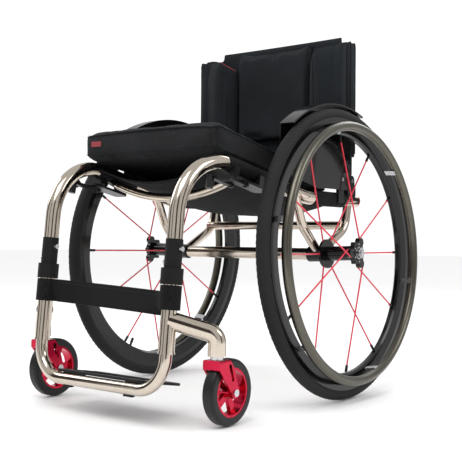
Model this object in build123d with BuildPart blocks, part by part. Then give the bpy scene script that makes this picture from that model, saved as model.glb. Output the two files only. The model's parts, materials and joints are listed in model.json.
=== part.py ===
"""Rigid-frame manual wheelchair with cambered quick-release wheels.

Units are millimetres. +Z is up, the front of the chair faces -Y, and +X is the sitter's left.
The origin lies on the ground, at the middle of the chair's width and length.
"""
from build123d import *
import math
import os

os.makedirs("parts", exist_ok=True)

# ---------------------------------------------------------------- driving dimensions
# Rear wheels
wheel_radius = 296.0  # to the outside of the tyre
tyre_section = 25.0
camber = 2.2  # degrees, the top of each wheel leans in
wheel_track = 490.8  # between wheel centres at axle height
rim_width = 21.0
rim_flange_height = 7.5  # how far the tyre covers the rim flange, from the tyre's section centre
rim_depth = 34.0
handrim_inset = 29.7  # from the outside of the tyre to the outside of the handrim tube
handrim_tube = 19.0
handrim_wall = 1.5
handrim_offset = 33.5  # handrim plane outboard of the wheel plane
spoke_count = 12
spoke_diameter = 3.2
hub_inboard = 44.0
hub_outboard = 38.0
axle_diameter = 12.7
running_clearance = 0.05
moving_gap = 0.4

# Side frames
rail_diameter = 28.6
rail_wall = 1.4
leg_lean = 5.8  # degrees, the foot of each leg is further forward
leg_spacing = 318.0  # between leg centres
rail_spacing = 372.0  # between rail centres at the axle
front_reach = 462.0  # from the axle to the front of the footrest tube
front_bend_radius = 110.0
rear_bend_radius = 150.0
front_corner_height = 487.0
rear_rail_height = 409.5
rail_corner_back = -45.0  # where the slope meets the level rail, from the axle
rail_end_back = 150.0  # end of the level rail, from the axle
leg_end_height = 130.6

# Axle loops and cross tubes
loop_tube = 19.0
camber_tube_diameter = 25.4
camber_tube_wall = 1.6
receiver_diameter = 32.0
receiver_reach = 20.1  # inboard of the rail's centre line
hub_receiver_gap = 1.5
cross_tube = 19.0
cross_tube_back = 98.0
cross_tube_share = 0.5163  # of the height from the axle to the rear rail
bow_tube = 17.0
bow_back = -255.0
bow_end_drop = 10.0  # ends of the bow below the rail's centre line
bow_drop = 40.0

# Casters
caster_radius = 58.5
caster_width = 24.0
caster_spacing = 448.0
caster_stem_back = -386.5  # swivel axis, from the axle
caster_trail = 30.0
barrel_diameter = 32.0
crown_rise = 0.5  # top of the fork's crown above the caster wheel
barrel_gap = 6.2  # between the crown and the swivel barrel
arm_corner_rise = 36.3  # bend of the caster arm above the bottom of its barrel
arm_rise = 25.0  # the arm's end at the leg above its bend
fork_wall = 5.0
stem_diameter = 12.7

# Footrest
foot_tube = 22.2
foot_wall = 2.0
foot_height = 60.5
foot_bend_radius = 60.0
plate_width = 226.0
plate_depth = 110.0
plate_thickness = 5.0
plate_tilt = 10.0
foot_clamp_wall = 3.5  # the plate clamps behind the footrest tube
foot_tube_length = 292.0

# Calf strap, collars and sleeves on the legs
strap_width = 42.0
wrap_rise = 37.6  # middle of the loop round each leg, above the caster arm
collar_gap = 1.4
collar_length = 28.0
sleeve_length = 50.0
screw_rises = [33.0, 10.0]  # above the bottom of the sleeve
band_rises = {"left": -11.6, "right": 0.9}  # middle of the band at each leg, from the loop's middle

# Seat and back
cushion_thickness = 52.0
cushion_width = 370.0
cushion_front_back = -340.0
cushion_rear_back = 58.0
sling_sag = 32.0
cane_diameter = 25.4
cane_wall = 1.6
cane_back = 114.0
hinge_height = 452.0
back_top = 775.0  # top of the centre panel
wing_top = 755.0  # top of the backrest's sides
pad_bottom = 545.0
back_width = 404.0
guard_gap = 4.0  # between the backrest's side and the guard
fender_gap = 7.0  # between the tyre and the fender lip

# ---------------------------------------------------------------- derived places
axle_y = (front_reach - wheel_radius) / 2
tyre_r = tyre_section / 2
hub_z = (wheel_radius - tyre_r) * math.cos(math.radians(camber)) + tyre_r
handrim_radius = wheel_radius - handrim_inset
cross_tube_height = hub_z + cross_tube_share * (rear_rail_height - hub_z)
crown_top = 2 * caster_radius + crown_rise
barrel_bottom = crown_top + barrel_gap
arm_corner_z = barrel_bottom + arm_corner_rise
arm_leg_z = arm_corner_z + arm_rise
wrap_centre = arm_leg_z + wrap_rise
collar_bottom = wrap_centre + strap_width / 2 + collar_gap
sleeve_bottom = collar_bottom + collar_length
sleeve_top = sleeve_bottom + sleeve_length
leg_x = leg_spacing / 2
rail_x = rail_spacing / 2
rail_r = rail_diameter / 2
foot_y = axle_y - front_reach + foot_tube / 2
lean_tan = math.tan(math.radians(leg_lean))
leg_up = Vector(0, math.sin(math.radians(leg_lean)), math.cos(math.radians(leg_lean)))
caster_y = axle_y + caster_stem_back
caster_x = caster_spacing / 2
caster_axle_y = caster_y + caster_trail
cane_y = axle_y + cane_back
SIDES = {"left": 1, "right": -1}


def leg_y(height):
    """Y of the leg's centre line at a height."""
    return foot_y + (height - foot_height) * lean_tan


corner_back_y = axle_y + rail_corner_back
rail_slope = (front_corner_height - rear_rail_height) / (corner_back_y - leg_y(front_corner_height))


def rail_z(y):
    """Height of the seat rail's centre line, without its bends."""
    return rear_rail_height + max(0.0, corner_back_y - y) * rail_slope


def rail_centre_x(y):
    """Half-width between the rail centre lines, which flare from the legs to the axle."""
    share = (y - leg_y(front_corner_height)) / (corner_back_y - leg_y(front_corner_height))
    return leg_x + (rail_x - leg_x) * min(1.0, max(0.0, share))


def save(builder, name):
    """Label one finished sub-part and write it."""
    builder.part.label = name
    export_step(builder.part, f"parts/{name}.step")


def tube(points, radii, outer, inner=0.0):
    """Sweep a round tube along straight runs joined by tangent bends, in the open part."""
    with BuildLine() as run:
        if len(points) == 2:
            Line(*points)
        else:
            FilletPolyline(*points, radius=radii)
    with BuildSketch(Plane(origin=run.line @ 0, z_dir=run.line % 0)) as section:
        Circle(outer)
        if inner:
            Circle(inner, mode=Mode.SUBTRACT)
    sweep(section.sketch, path=run.line)


def rod(start, end, radius, mode=Mode.ADD):
    """A straight round bar between two points, in the open part."""
    start, end = Vector(*start), Vector(*end)
    with BuildSketch(Plane(origin=start, z_dir=end - start)) as section:
        Circle(radius)
    extrude(section.sketch, amount=(end - start).length, mode=mode)


def ring(start, end, outer, inner):
    """A straight hollow bar between two points, in the open part."""
    start, end = Vector(*start), Vector(*end)
    with BuildSketch(Plane(origin=start, z_dir=end - start)) as section:
        Circle(outer)
        Circle(inner, mode=Mode.SUBTRACT)
    extrude(section.sketch, amount=(end - start).length)


def bench_box(centre, size, mode=Mode.ADD):
    """A box in the open part, by its centre and size."""
    with Locations(centre):
        Box(*size, mode=mode)


# ---------------------------------------------------------------- side frames
def side_path(side):
    """Corner points of one side frame's centre line, from the foot of the leg to the rail's end."""
    return [
        (side * leg_x, leg_y(leg_end_height), leg_end_height),
        (side * leg_x, leg_y(front_corner_height), front_corner_height),
        (side * rail_x, corner_back_y, rear_rail_height),
        (side * rail_x, axle_y + rail_end_back, rear_rail_height),
    ]


side_bends = [front_bend_radius, rear_bend_radius]
rail_cores = {}
for side_name, side in SIDES.items():
    with BuildPart() as rail_core:
        tube(side_path(side), side_bends, rail_r)
    rail_cores[side_name] = rail_core.part

screw_radius = 2.6
screw_heights = [sleeve_bottom + rise for rise in screw_rises]
screw_sides = [1, -1]  # the upper screw's head faces +X, the lower one's -X

with BuildPart() as side_frames:
    for side in SIDES.values():
        tube(side_path(side), side_bends, rail_r, rail_r - rail_wall)
    for side in SIDES.values():
        for height, face in zip(screw_heights, screw_sides):
            start = (side * leg_x, leg_y(height), height)
            rod(start, (start[0] + face * rail_diameter, start[1], start[2]), screw_radius, Mode.SUBTRACT)
save(side_frames, "side_frames")

# ---------------------------------------------------------------- axle loops and receivers
wheel_planes = {}
for side_name, side in SIDES.items():
    outward = Vector(side * math.cos(math.radians(camber)), 0, math.sin(math.radians(camber)))
    centre = Vector(side * wheel_track / 2, axle_y, hub_z)
    wheel_planes[side_name] = Plane(origin=centre, x_dir=(0, side, 0), z_dir=outward)

receiver_outer = -(hub_inboard + hub_receiver_gap)
receiver_inner = rail_x - receiver_reach - wheel_track / 2
receiver_cores = {}
for side_name, plane in wheel_planes.items():
    with BuildPart() as receiver_core:
        rod(plane.from_local_coords((0, 0, receiver_inner)),
            plane.from_local_coords((0, 0, receiver_outer)), receiver_diameter / 2)
    receiver_cores[side_name] = receiver_core.part

axle_bore = axle_diameter / 2 + running_clearance
with BuildPart() as axle_receivers:
    for plane in wheel_planes.values():
        ring(plane.from_local_coords((0, 0, receiver_inner)),
             plane.from_local_coords((0, 0, receiver_outer)), receiver_diameter / 2, axle_bore)
save(axle_receivers, "axle_receivers")

loop_r = loop_tube / 2
loop_front_y = axle_y - 92.0
loop_elbow_shares = [0.4943, 0.4591]  # of the height from the axle to the rear rail
front_elbow_z, rear_elbow_z = [hub_z + share * (rear_rail_height - hub_z) for share in loop_elbow_shares]
loop_front_elbow = (axle_y - 62.0, front_elbow_z)
loop_bottom = (axle_y + 4.0, hub_z - 3.0)
loop_rear_elbow = (axle_y + 110.0, rear_elbow_z)
loop_rear_y = axle_y + 122.0
loop_bends = [60.0, 12.0, 50.0]  # the bottom bend lies wholly inside the receiver


def loop_points(x):
    """Corner points of one axle loop's centre line, in the vertical plane at x."""
    return [
        (x, loop_front_y, rail_z(loop_front_y)),
        (x, *loop_front_elbow),
        (x, *loop_bottom),
        (x, *loop_rear_elbow),
        (x, loop_rear_y, rear_rail_height),
    ]


loop_cores = {}
for side_name, side in SIDES.items():
    with BuildPart() as loop_core:
        tube(loop_points(side * rail_x), loop_bends, loop_r)
    loop_cores[side_name] = loop_core.part

with BuildPart() as axle_loops:
    for side_name, side in SIDES.items():
        tube(loop_points(side * rail_x), loop_bends, loop_r, loop_r - rail_wall)
    for side_name in SIDES:
        add(rail_cores[side_name], mode=Mode.SUBTRACT)
        add(receiver_cores[side_name], mode=Mode.SUBTRACT)
save(axle_loops, "axle_loops")

# ---------------------------------------------------------------- cross tubes
camber_z = hub_z + receiver_inner * math.sin(math.radians(camber))
camber_half = wheel_track / 2 + receiver_inner
with BuildPart() as camber_tube:
    ring((-camber_half, axle_y, camber_z), (camber_half, axle_y, camber_z),
         camber_tube_diameter / 2, camber_tube_diameter / 2 - camber_tube_wall)
    for side_name in SIDES:
        add(receiver_cores[side_name], mode=Mode.SUBTRACT)
        add(loop_cores[side_name], mode=Mode.SUBTRACT)
save(camber_tube, "camber_tube")

cross_y = axle_y + cross_tube_back
with BuildPart() as upper_crossbar:
    rod((-rail_x, cross_y, cross_tube_height), (rail_x, cross_y, cross_tube_height), cross_tube / 2)
    for side_name in SIDES:
        add(loop_cores[side_name], mode=Mode.SUBTRACT)
save(upper_crossbar, "upper_crossbar")

bow_y = axle_y + bow_back
bow_half = rail_centre_x(bow_y)
bow_end_z = rail_z(bow_y) - bow_end_drop
with BuildPart() as bow_core:
    with BuildLine() as bow_line:
        ThreePointArc((-bow_half, bow_y, bow_end_z), (0, bow_y, bow_end_z - bow_drop),
                      (bow_half, bow_y, bow_end_z))
    with BuildSketch(Plane(origin=bow_line.line @ 0, z_dir=bow_line.line % 0)):
        Circle(bow_tube / 2)
    sweep(path=bow_line.line)

with BuildPart() as bowed_crossbar:
    add(bow_core.part)
    for side_name in SIDES:
        add(rail_cores[side_name], mode=Mode.SUBTRACT)
save(bowed_crossbar, "bowed_crossbar")

# ---------------------------------------------------------------- caster arms and swivel bearings
barrel_r = barrel_diameter / 2
bearing_outer = 13.0
bearing_length = 8.0
bearing_bore = stem_diameter / 2 + running_clearance
bearing_places = [barrel_bottom + 1.0, barrel_bottom + 20.0]  # underside of each swivel bearing
stem_top = bearing_places[-1] + bearing_length + 2.0


def arm_points(side):
    """Corner points of one caster arm, from the leg to the bottom of its barrel."""
    return [
        (side * leg_x, leg_y(arm_leg_z), arm_leg_z),
        (side * caster_x, caster_y, arm_corner_z),
        (side * caster_x, caster_y, barrel_bottom),
    ]


with BuildPart() as caster_arms:
    for side in SIDES.values():
        tube(arm_points(side), [barrel_r + 2.0], barrel_r)
        bore_top = (side * caster_x, caster_y, stem_top + 2.0)
        rod((side * caster_x, caster_y, barrel_bottom), bore_top, bearing_outer - 1.0, Mode.SUBTRACT)
        for place in bearing_places:
            rod((side * caster_x, caster_y, place),
                (side * caster_x, caster_y, place + bearing_length), bearing_outer, Mode.SUBTRACT)
        rod((side * caster_x, caster_y, barrel_bottom),
            (side * caster_x, caster_y, bearing_places[-1]), bearing_outer, Mode.SUBTRACT)
    for side_name in SIDES:
        add(rail_cores[side_name], mode=Mode.SUBTRACT)
save(caster_arms, "caster_arms")

with BuildPart() as swivel_bearings:
    for side in SIDES.values():
        for place in bearing_places:
            ring((side * caster_x, caster_y, place),
                 (side * caster_x, caster_y, place + bearing_length), bearing_outer, bearing_bore)
save(swivel_bearings, "swivel_bearings")

# ---------------------------------------------------------------- leg fittings
bushing_lip = 3.5
bushing_length = 30.0
foot_r = foot_tube / 2
slide_bore = foot_r + running_clearance


def leg_point(side, height):
    """A point on the leg's centre line."""
    return (side * leg_x, leg_y(height), height)


with BuildPart() as leg_bushings:
    for side in SIDES.values():
        ring(leg_point(side, leg_end_height - bushing_lip), leg_point(side, leg_end_height),
             rail_r + 1.0, slide_bore)
        ring(leg_point(side, leg_end_height), leg_point(side, leg_end_height + bushing_length),
             rail_r - rail_wall, slide_bore)
save(leg_bushings, "leg_bushings")

sleeve_wall = 1.0
with BuildPart() as leg_sleeves:
    for side in SIDES.values():
        ring(leg_point(side, sleeve_bottom), leg_point(side, sleeve_top), rail_r + sleeve_wall, rail_r)
        for height, face in zip(screw_heights, screw_sides):
            start = leg_point(side, height)
            rod(start, (start[0] + face * rail_diameter, start[1], start[2]), screw_radius, Mode.SUBTRACT)
save(leg_sleeves, "leg_sleeves")

collar_wall = 5.4
with BuildPart() as strap_collars:
    for side in SIDES.values():
        ring(leg_point(side, collar_bottom), leg_point(side, sleeve_bottom), rail_r + collar_wall, rail_r)
save(strap_collars, "strap_collars")

screw_head_r = 4.6
screw_head_length = 5.0
with BuildPart() as leg_screws:
    for side in SIDES.values():
        for height, face in zip(screw_heights, screw_sides):
            x, y, z = leg_point(side, height)
            tip = x + face * (foot_r + moving_gap)
            seat = x + face * (rail_r + sleeve_wall)
            rod((tip, y, z), (seat, y, z), screw_radius)
            rod((seat, y, z), (seat + face * screw_head_length, y, z), screw_head_r)
save(leg_screws, "leg_screws")

strap_thickness = 4.0
strap_centres = {side_name: wrap_centre + rise for side_name, rise in band_rises.items()}
strap_wrap = 4.5
with BuildPart() as calf_strap:
    low = strap_centres["right"] - strap_width / 2
    high = strap_centres["right"] + strap_width / 2
    drop = strap_centres["left"] - strap_centres["right"]
    with BuildSketch(Plane(origin=(0, leg_y(strap_centres["left"]) + strap_thickness, 0), x_dir=(1, 0, 0),
                           z_dir=(0, -1, 0))):
        Polygon((-leg_x, low), (leg_x, low + drop), (leg_x, high + drop), (-leg_x, high), align=None)
    extrude(amount=strap_thickness)
    for side in SIDES.values():
        rod(leg_point(side, wrap_centre - strap_width / 2), leg_point(side, wrap_centre + strap_width / 2),
            rail_r + strap_wrap)
    for side_name in SIDES:
        add(rail_cores[side_name], mode=Mode.SUBTRACT)
save(calf_strap, "calf_strap")

# ---------------------------------------------------------------- footrest
foot_plane = Plane(origin=(0, foot_y, foot_height), x_dir=(1, 0, 0), z_dir=(0, -leg_up.Z, leg_up.Y))
with BuildPart() as footrest_tube:
    tube([foot_plane.from_local_coords(p) for p in (
        (-leg_x, foot_tube_length, 0), (-leg_x, 0, 0), (leg_x, 0, 0), (leg_x, foot_tube_length, 0))],
        [foot_bend_radius, foot_bend_radius], foot_r, foot_r - foot_wall)
save(footrest_tube, "footrest_tube")

plate_plane = Plane(origin=(0, foot_y, foot_height), x_dir=(1, 0, 0),
                    z_dir=(0, 0, 1)).rotated((-plate_tilt, 0, 0))
plate_low = foot_r + 1.0  # underside of the plate above the tube's centre
plate_front = -4.0
plate_corner_r = 14.0
plate_edge_r = 1.2
with BuildPart() as footplate:
    with BuildSketch(plate_plane.offset(plate_low)):
        with Locations((0, plate_front + plate_depth / 2)):
            RectangleRounded(plate_width, plate_depth, plate_corner_r)
    extrude(amount=plate_thickness)
    fillet(footplate.faces().sort_by(Axis.Z)[-1].edges(), radius=plate_edge_r)
save(footplate, "footplate")

clamp_x = 78.0
clamp_width = 22.0
saddle_middle = 16.0  # middle of each clamp's saddle, behind the tube's centre
saddle_length = 36.0
saddle_height = 10.0
with BuildPart() as plate_clamps:
    for side in SIDES.values():
        with BuildSketch(Plane(origin=(side * clamp_x - clamp_width / 2, foot_y, foot_height),
                               x_dir=plate_plane.y_dir, z_dir=(1, 0, 0))):
            Circle(foot_r + foot_clamp_wall)
            with Locations((saddle_middle, plate_low - saddle_height / 2)):
                Rectangle(saddle_length, saddle_height)
            Circle(foot_r, mode=Mode.SUBTRACT)
            Rectangle(4 * foot_r, 4 * foot_r, align=(Align.MAX, Align.CENTER), mode=Mode.SUBTRACT)
            with Locations((saddle_middle, plate_low)):
                Rectangle(2 * saddle_length, 2 * saddle_height, align=(Align.CENTER, Align.MIN),
                          mode=Mode.SUBTRACT)
        extrude(amount=clamp_width)
save(plate_clamps, "plate_clamps")

strip_pitch = 26.0
strip_count = 3
strip_inset = 23.0  # from the side of the plate
strip_breadth = 12.0
strip_height = 1.2
with BuildPart() as grip_strips:
    with BuildSketch(plate_plane.offset(plate_low + plate_thickness)):
        with GridLocations(0, strip_pitch, 1, strip_count):
            with Locations((0, plate_front + plate_depth / 2)):
                SlotOverall(plate_width - 2 * strip_inset, strip_breadth)
    extrude(amount=strip_height)
save(grip_strips, "grip_strips")

# ---------------------------------------------------------------- seat
seat_front_y = axle_y + cushion_front_back
seat_rear_y = axle_y + cushion_rear_back
rail_sleeve_wall = 1.7
sleeve_r = rail_r + rail_sleeve_wall
sling_thickness = 3.0
sling_seam = 1.0  # how far the sling is sewn into the sleeves
sling_start_y = seat_front_y + 32.0
sling_end_y = axle_y + 92.0
sling_stations = [sling_start_y, corner_back_y - 18.0, corner_back_y + 18.0, sling_end_y]
with BuildPart() as seat_sling:
    for station in sling_stations:
        half = rail_centre_x(station) - sleeve_r + sling_seam
        edge_z = rail_z(station)
        with BuildSketch(Plane(origin=(0, station, edge_z), x_dir=(1, 0, 0), z_dir=(0, -1, 0))):
            with BuildLine():
                ThreePointArc((-half, 0), (0, -sling_sag), (half, 0))
                Line((half, 0), (half, -sling_thickness))
                ThreePointArc((half, -sling_thickness), (0, -sling_sag - sling_thickness),
                              (-half, -sling_thickness))
                Line((-half, -sling_thickness), (-half, 0))
            make_face()
    loft(ruled=True)
save(seat_sling, "seat_sling")

sleeve_cores = {}
for side_name, side in SIDES.items():
    with BuildPart() as sleeve_core:
        tube(side_path(side), side_bends, sleeve_r)
    sleeve_cores[side_name] = sleeve_core.part

rail_sleeve_spans = [(axle_y - 296.0, axle_y - 182.0), (axle_y - 30.0, axle_y + 92.0)]
with BuildPart() as rail_sleeves:
    for side_name in SIDES:
        add(sleeve_cores[side_name])
    for first, last in zip([foot_y - rail_diameter, rail_sleeve_spans[0][1], rail_sleeve_spans[1][1]],
                           [rail_sleeve_spans[0][0], rail_sleeve_spans[1][0], axle_y + 2 * rail_end_back]):
        bench_box((0, (first + last) / 2, rear_rail_height),
                  (2 * rail_spacing, last - first, 2 * rear_rail_height), Mode.SUBTRACT)
    for side_name in SIDES:
        add(rail_cores[side_name], mode=Mode.SUBTRACT)
    add(bow_core.part, mode=Mode.SUBTRACT)
save(rail_sleeves, "rail_sleeves")

cushion_gap = 1.0
cushion_bottom = sleeve_r + cushion_gap
cushion_corner_r = 14.0


def cushion_point(y, height):
    """A point of the cushion's side outline: a height above the rail's centre line at y."""
    return (y, rail_z(y) + height)


with BuildPart() as seat_cushion:
    with BuildSketch(Plane.YZ.offset(-cushion_width / 2)):
        Polygon(
            cushion_point(seat_front_y, cushion_bottom),
            cushion_point(corner_back_y, cushion_bottom),
            cushion_point(seat_rear_y, cushion_bottom),
            cushion_point(seat_rear_y, cushion_bottom + cushion_thickness),
            cushion_point(corner_back_y, cushion_bottom + cushion_thickness),
            cushion_point(seat_front_y, cushion_bottom + cushion_thickness), align=None)
    extrude(amount=cushion_width)
    front_edges = seat_cushion.faces().sort_by(Axis.Y)[0].edges()
    fillet(front_edges, radius=cushion_corner_r)
save(seat_cushion, "seat_cushion")

# ---------------------------------------------------------------- side guards
guard_x = back_width / 2 + guard_gap
guard_thickness = 2.5
lip_radius = wheel_radius + fender_gap
lip_thickness = 3.0
lip_short = 7.4  # the lip ends this far inboard of the wheel's centre at axle height
lip_reach = wheel_track / 2 - guard_x - lip_short
guard_front_angle = 125.0
guard_rear_angle = 72.0
guard_rail_gap = 6.0
guard_bottom = rear_rail_height + rail_r + guard_rail_gap
guard_rear_y = axle_y + 88.0


def rim_point(radius, angle):
    """A point on a circle about the axle, in the side view, with the angle taken from the rear."""
    return (axle_y + radius * math.cos(math.radians(angle)), hub_z + radius * math.sin(math.radians(angle)))


guard_front = rim_point(lip_radius + lip_thickness, guard_front_angle)
guard_back = rim_point(lip_radius + lip_thickness, guard_rear_angle)
guard_top = rim_point(lip_radius + lip_thickness, (guard_front_angle + guard_rear_angle) / 2)
front_low_z = rail_z(guard_front[0]) + rail_r + guard_rail_gap
with BuildPart() as side_guards:
    for side in SIDES.values():
        start_x = guard_x if side > 0 else -guard_x - guard_thickness
        with BuildSketch(Plane.YZ.offset(start_x)) as guard_panel:
            with BuildLine():
                ThreePointArc(guard_front, guard_top, guard_back)
                Line(guard_back, (guard_rear_y, guard_bottom))
                Line((guard_rear_y, guard_bottom), (corner_back_y, guard_bottom))
                Line((corner_back_y, guard_bottom), (guard_front[0], front_low_z))
                Line((guard_front[0], front_low_z), guard_front)
            make_face()
        extrude(guard_panel.sketch, amount=guard_thickness)
        lip_start = guard_x if side > 0 else -guard_x - lip_reach
        with BuildSketch(Plane.YZ.offset(lip_start)) as guard_lip:
            with BuildLine():
                lip_outer = ThreePointArc(guard_front, guard_top, guard_back)
                lip_inner = ThreePointArc(rim_point(lip_radius, guard_front_angle),
                                          rim_point(lip_radius, (guard_front_angle + guard_rear_angle) / 2),
                                          rim_point(lip_radius, guard_rear_angle))
                Line(lip_outer @ 0, lip_inner @ 0)
                Line(lip_outer @ 1, lip_inner @ 1)
            make_face()
        extrude(guard_lip.sketch, amount=lip_reach)
save(side_guards, "side_guards")

standoff_places = [axle_y - 120.0, axle_y + 60.0]
standoff_width = 22.0
standoff_plate = 3.0
standoff_bar = 14.0
standoff_head = 24.0  # above the top of the rail
with BuildPart() as guard_standoffs:
    for side in SIDES.values():
        for y in standoff_places:
            middle_x = (rail_centre_x(y) + guard_x) / 2
            bench_box((side * middle_x, y, rail_z(y)), (guard_x - rail_centre_x(y), standoff_width, standoff_bar))
            foot, head = rail_z(y) - standoff_bar / 2, rail_z(y) + rail_r + standoff_head
            bench_box((side * (guard_x - standoff_plate / 2), y, (foot + head) / 2),
                      (standoff_plate, standoff_width, head - foot))
    for side_name in SIDES:
        add(rail_cores[side_name], mode=Mode.SUBTRACT)
    add(rail_sleeves.part, mode=Mode.SUBTRACT)
save(guard_standoffs, "guard_standoffs")

# ---------------------------------------------------------------- quick-release axles
pin_head_r = 11.0
pin_head_start = hub_outboard + moving_gap
pin_head_end = 44.0
button_r = 5.5
button_stem_r = 2.0
button_travel = 3.0
button_end = 48.0
pocket_depth = 6.0
with BuildPart() as axle_pins:
    for plane in wheel_planes.values():
        with BuildSketch(plane.offset(receiver_inner + 4.0)) as pin_shaft:
            Circle(axle_diameter / 2)
        extrude(pin_shaft.sketch, amount=pin_head_start - receiver_inner - 4.0)
        with BuildSketch(plane.offset(pin_head_start)) as pin_head:
            Circle(pin_head_r)
        extrude(pin_head.sketch, amount=pin_head_end - pin_head_start)
        with BuildSketch(plane.offset(pin_head_end - pocket_depth)) as pin_pocket:
            Circle(button_r + moving_gap)
        extrude(pin_pocket.sketch, amount=pocket_depth, mode=Mode.SUBTRACT)
save(axle_pins, "axle_pins")

for side_name, plane in wheel_planes.items():
    with BuildPart() as release_button:
        with BuildSketch(plane.offset(pin_head_end - pocket_depth + button_travel + moving_gap)):
            Circle(button_r)
        extrude(amount=button_end - pin_head_end + pocket_depth - button_travel - moving_gap)
        fillet(release_button.edges().sort_by(Axis(plane.origin, plane.z_dir))[-1], radius=1.2)
    save(release_button, f"release_button_{side_name}")

# ---------------------------------------------------------------- back hinges
hinge_pin_r = 4.0
tang_r = 12.0
cane_r = cane_diameter / 2
ear_thickness = 4.0
tang_half = cane_r - ear_thickness - moving_gap
ear_half = cane_r + 2.0
block_length = 34.0
block_top = hinge_height - tang_r - 1.0
with BuildPart() as hinge_blocks:
    for side in SIDES.values():
        bench_box((side * rail_x, cane_y, (rear_rail_height + block_top) / 2),
                  (2 * ear_half, block_length, block_top - rear_rail_height))
        for face in (-1, 1):
            with BuildSketch(Plane.YZ.offset(side * rail_x + face * (tang_half + moving_gap))) as ear:
                with Locations((cane_y, hinge_height)):
                    Circle(tang_r)
                    Rectangle(2 * tang_r, hinge_height - block_top + 2.0, align=(Align.CENTER, Align.MAX))
                    Circle(hinge_pin_r, mode=Mode.SUBTRACT)
            extrude(ear.sketch, amount=face * (ear_half - tang_half - moving_gap))
    for side_name in SIDES:
        add(rail_cores[side_name], mode=Mode.SUBTRACT)
save(hinge_blocks, "hinge_blocks")

with BuildPart() as hinge_pins:
    for side in SIDES.values():
        reach = ear_half + 2.0
        rod((side * rail_x - reach, cane_y, hinge_height), (side * rail_x + reach, cane_y, hinge_height),
            hinge_pin_r)
save(hinge_pins, "hinge_pins")

# ---------------------------------------------------------------- backrest
cane_start = hinge_height + tang_r + 2.0
cane_top = wing_top - 12.0
rigidizer_height = 488.0
cane_cores = {}
for side_name, side in SIDES.items():
    with BuildPart() as cane_core:
        rod((side * rail_x, cane_y, cane_start), (side * rail_x, cane_y, cane_top), cane_r)
    cane_cores[side_name] = cane_core.part

with BuildPart() as back_canes:
    for side in SIDES.values():
        ring((side * rail_x, cane_y, cane_start), (side * rail_x, cane_y, cane_top), cane_r, cane_r - cane_wall)
        bench_box((side * rail_x, cane_y, (hinge_height + cane_start + 6.0) / 2),
                  (2 * tang_half, 2 * tang_r - 6.0, cane_start + 6.0 - hinge_height))
        rod((side * rail_x - tang_half, cane_y, hinge_height), (side * rail_x + tang_half, cane_y, hinge_height),
            tang_r)
        rod((side * rail_x - tang_half, cane_y, hinge_height), (side * rail_x + tang_half, cane_y, hinge_height),
            hinge_pin_r + running_clearance, Mode.SUBTRACT)
save(back_canes, "back_canes")

with BuildPart() as rigidizer_bar:
    rod((-rail_x, cane_y, rigidizer_height), (rail_x, cane_y, rigidizer_height), cross_tube / 2)
    for side_name in SIDES:
        add(cane_cores[side_name], mode=Mode.SUBTRACT)
save(rigidizer_bar, "rigidizer_bar")

cover_wall = 5.0
cover_half = back_width / 2
cover_front = cane_y - cane_r - cover_wall
cover_back = cane_y + cane_r + cover_wall
sling_front = cane_y + cane_r - 2.0
cover_bottom = rigidizer_height + cross_tube / 2 + 4.0
with BuildPart() as back_sling:
    with BuildSketch(Plane.XY.offset(cover_bottom)) as panel:
        with Locations((0, (sling_front + cover_back) / 2)):
            Rectangle(2 * (rail_x - cane_r - cover_wall), cover_back - sling_front)
    extrude(panel.sketch, amount=back_top - cover_bottom)
    with BuildSketch(Plane.XY.offset(cover_bottom)) as pockets:
        for side in SIDES.values():
            with Locations((side * (cover_half + rail_x - cane_r - cover_wall - 1.0) / 2, cane_y)):
                RectangleRounded(cover_half - rail_x + cane_r + cover_wall + 1.0, cover_back - cover_front, 9.0)
            with Locations((side * (rail_x - cane_r - cover_wall), (sling_front + cover_back) / 2)):
                Rectangle(20.0, cover_back - sling_front)
    extrude(pockets.sketch, amount=wing_top - cover_bottom)
    for side_name in SIDES:
        add(cane_cores[side_name], mode=Mode.SUBTRACT)
save(back_sling, "back_sling")

pad_gap = 1.0
pad_top = back_top - 8.0
centre_half = 100.0
bolster_ridge = (130.0, axle_y + 62.0)
bolster_outer = (172.0, axle_y + 79.0)
wing_tip = (198.0, axle_y + 68.0)
centre_front = axle_y + 92.0
bolster_rear = cover_front - pad_gap
bolster_step = rail_x - cane_r - cover_wall - pad_gap
with BuildPart() as back_pads:
    with BuildSketch(Plane.XY.offset(pad_bottom)) as centre_section:
        with BuildLine():
            ThreePointArc((-centre_half, centre_front), (0, centre_front + 10.0), (centre_half, centre_front))
            Polyline((centre_half, centre_front), (centre_half, sling_front - pad_gap),
                     (-centre_half, sling_front - pad_gap), (-centre_half, centre_front))
        make_face()
    extrude(centre_section.sketch, amount=pad_top - pad_bottom)
    for side in SIDES.values():
        with BuildSketch(Plane.XY.offset(pad_bottom)) as bolster_section:
            Polygon(
                (side * (centre_half + pad_gap), centre_front), (side * bolster_ridge[0], bolster_ridge[1]),
                (side * bolster_outer[0], bolster_outer[1]), (side * wing_tip[0], wing_tip[1]),
                (side * cover_half, wing_tip[1] + 10.0), (side * cover_half, bolster_rear),
                (side * bolster_step, bolster_rear), (side * bolster_step, sling_front - pad_gap),
                (side * (centre_half + pad_gap), sling_front - pad_gap), align=None)
        extrude(bolster_section.sketch, amount=wing_top - 3.0 - pad_bottom)
save(back_pads, "back_pads")

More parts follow.
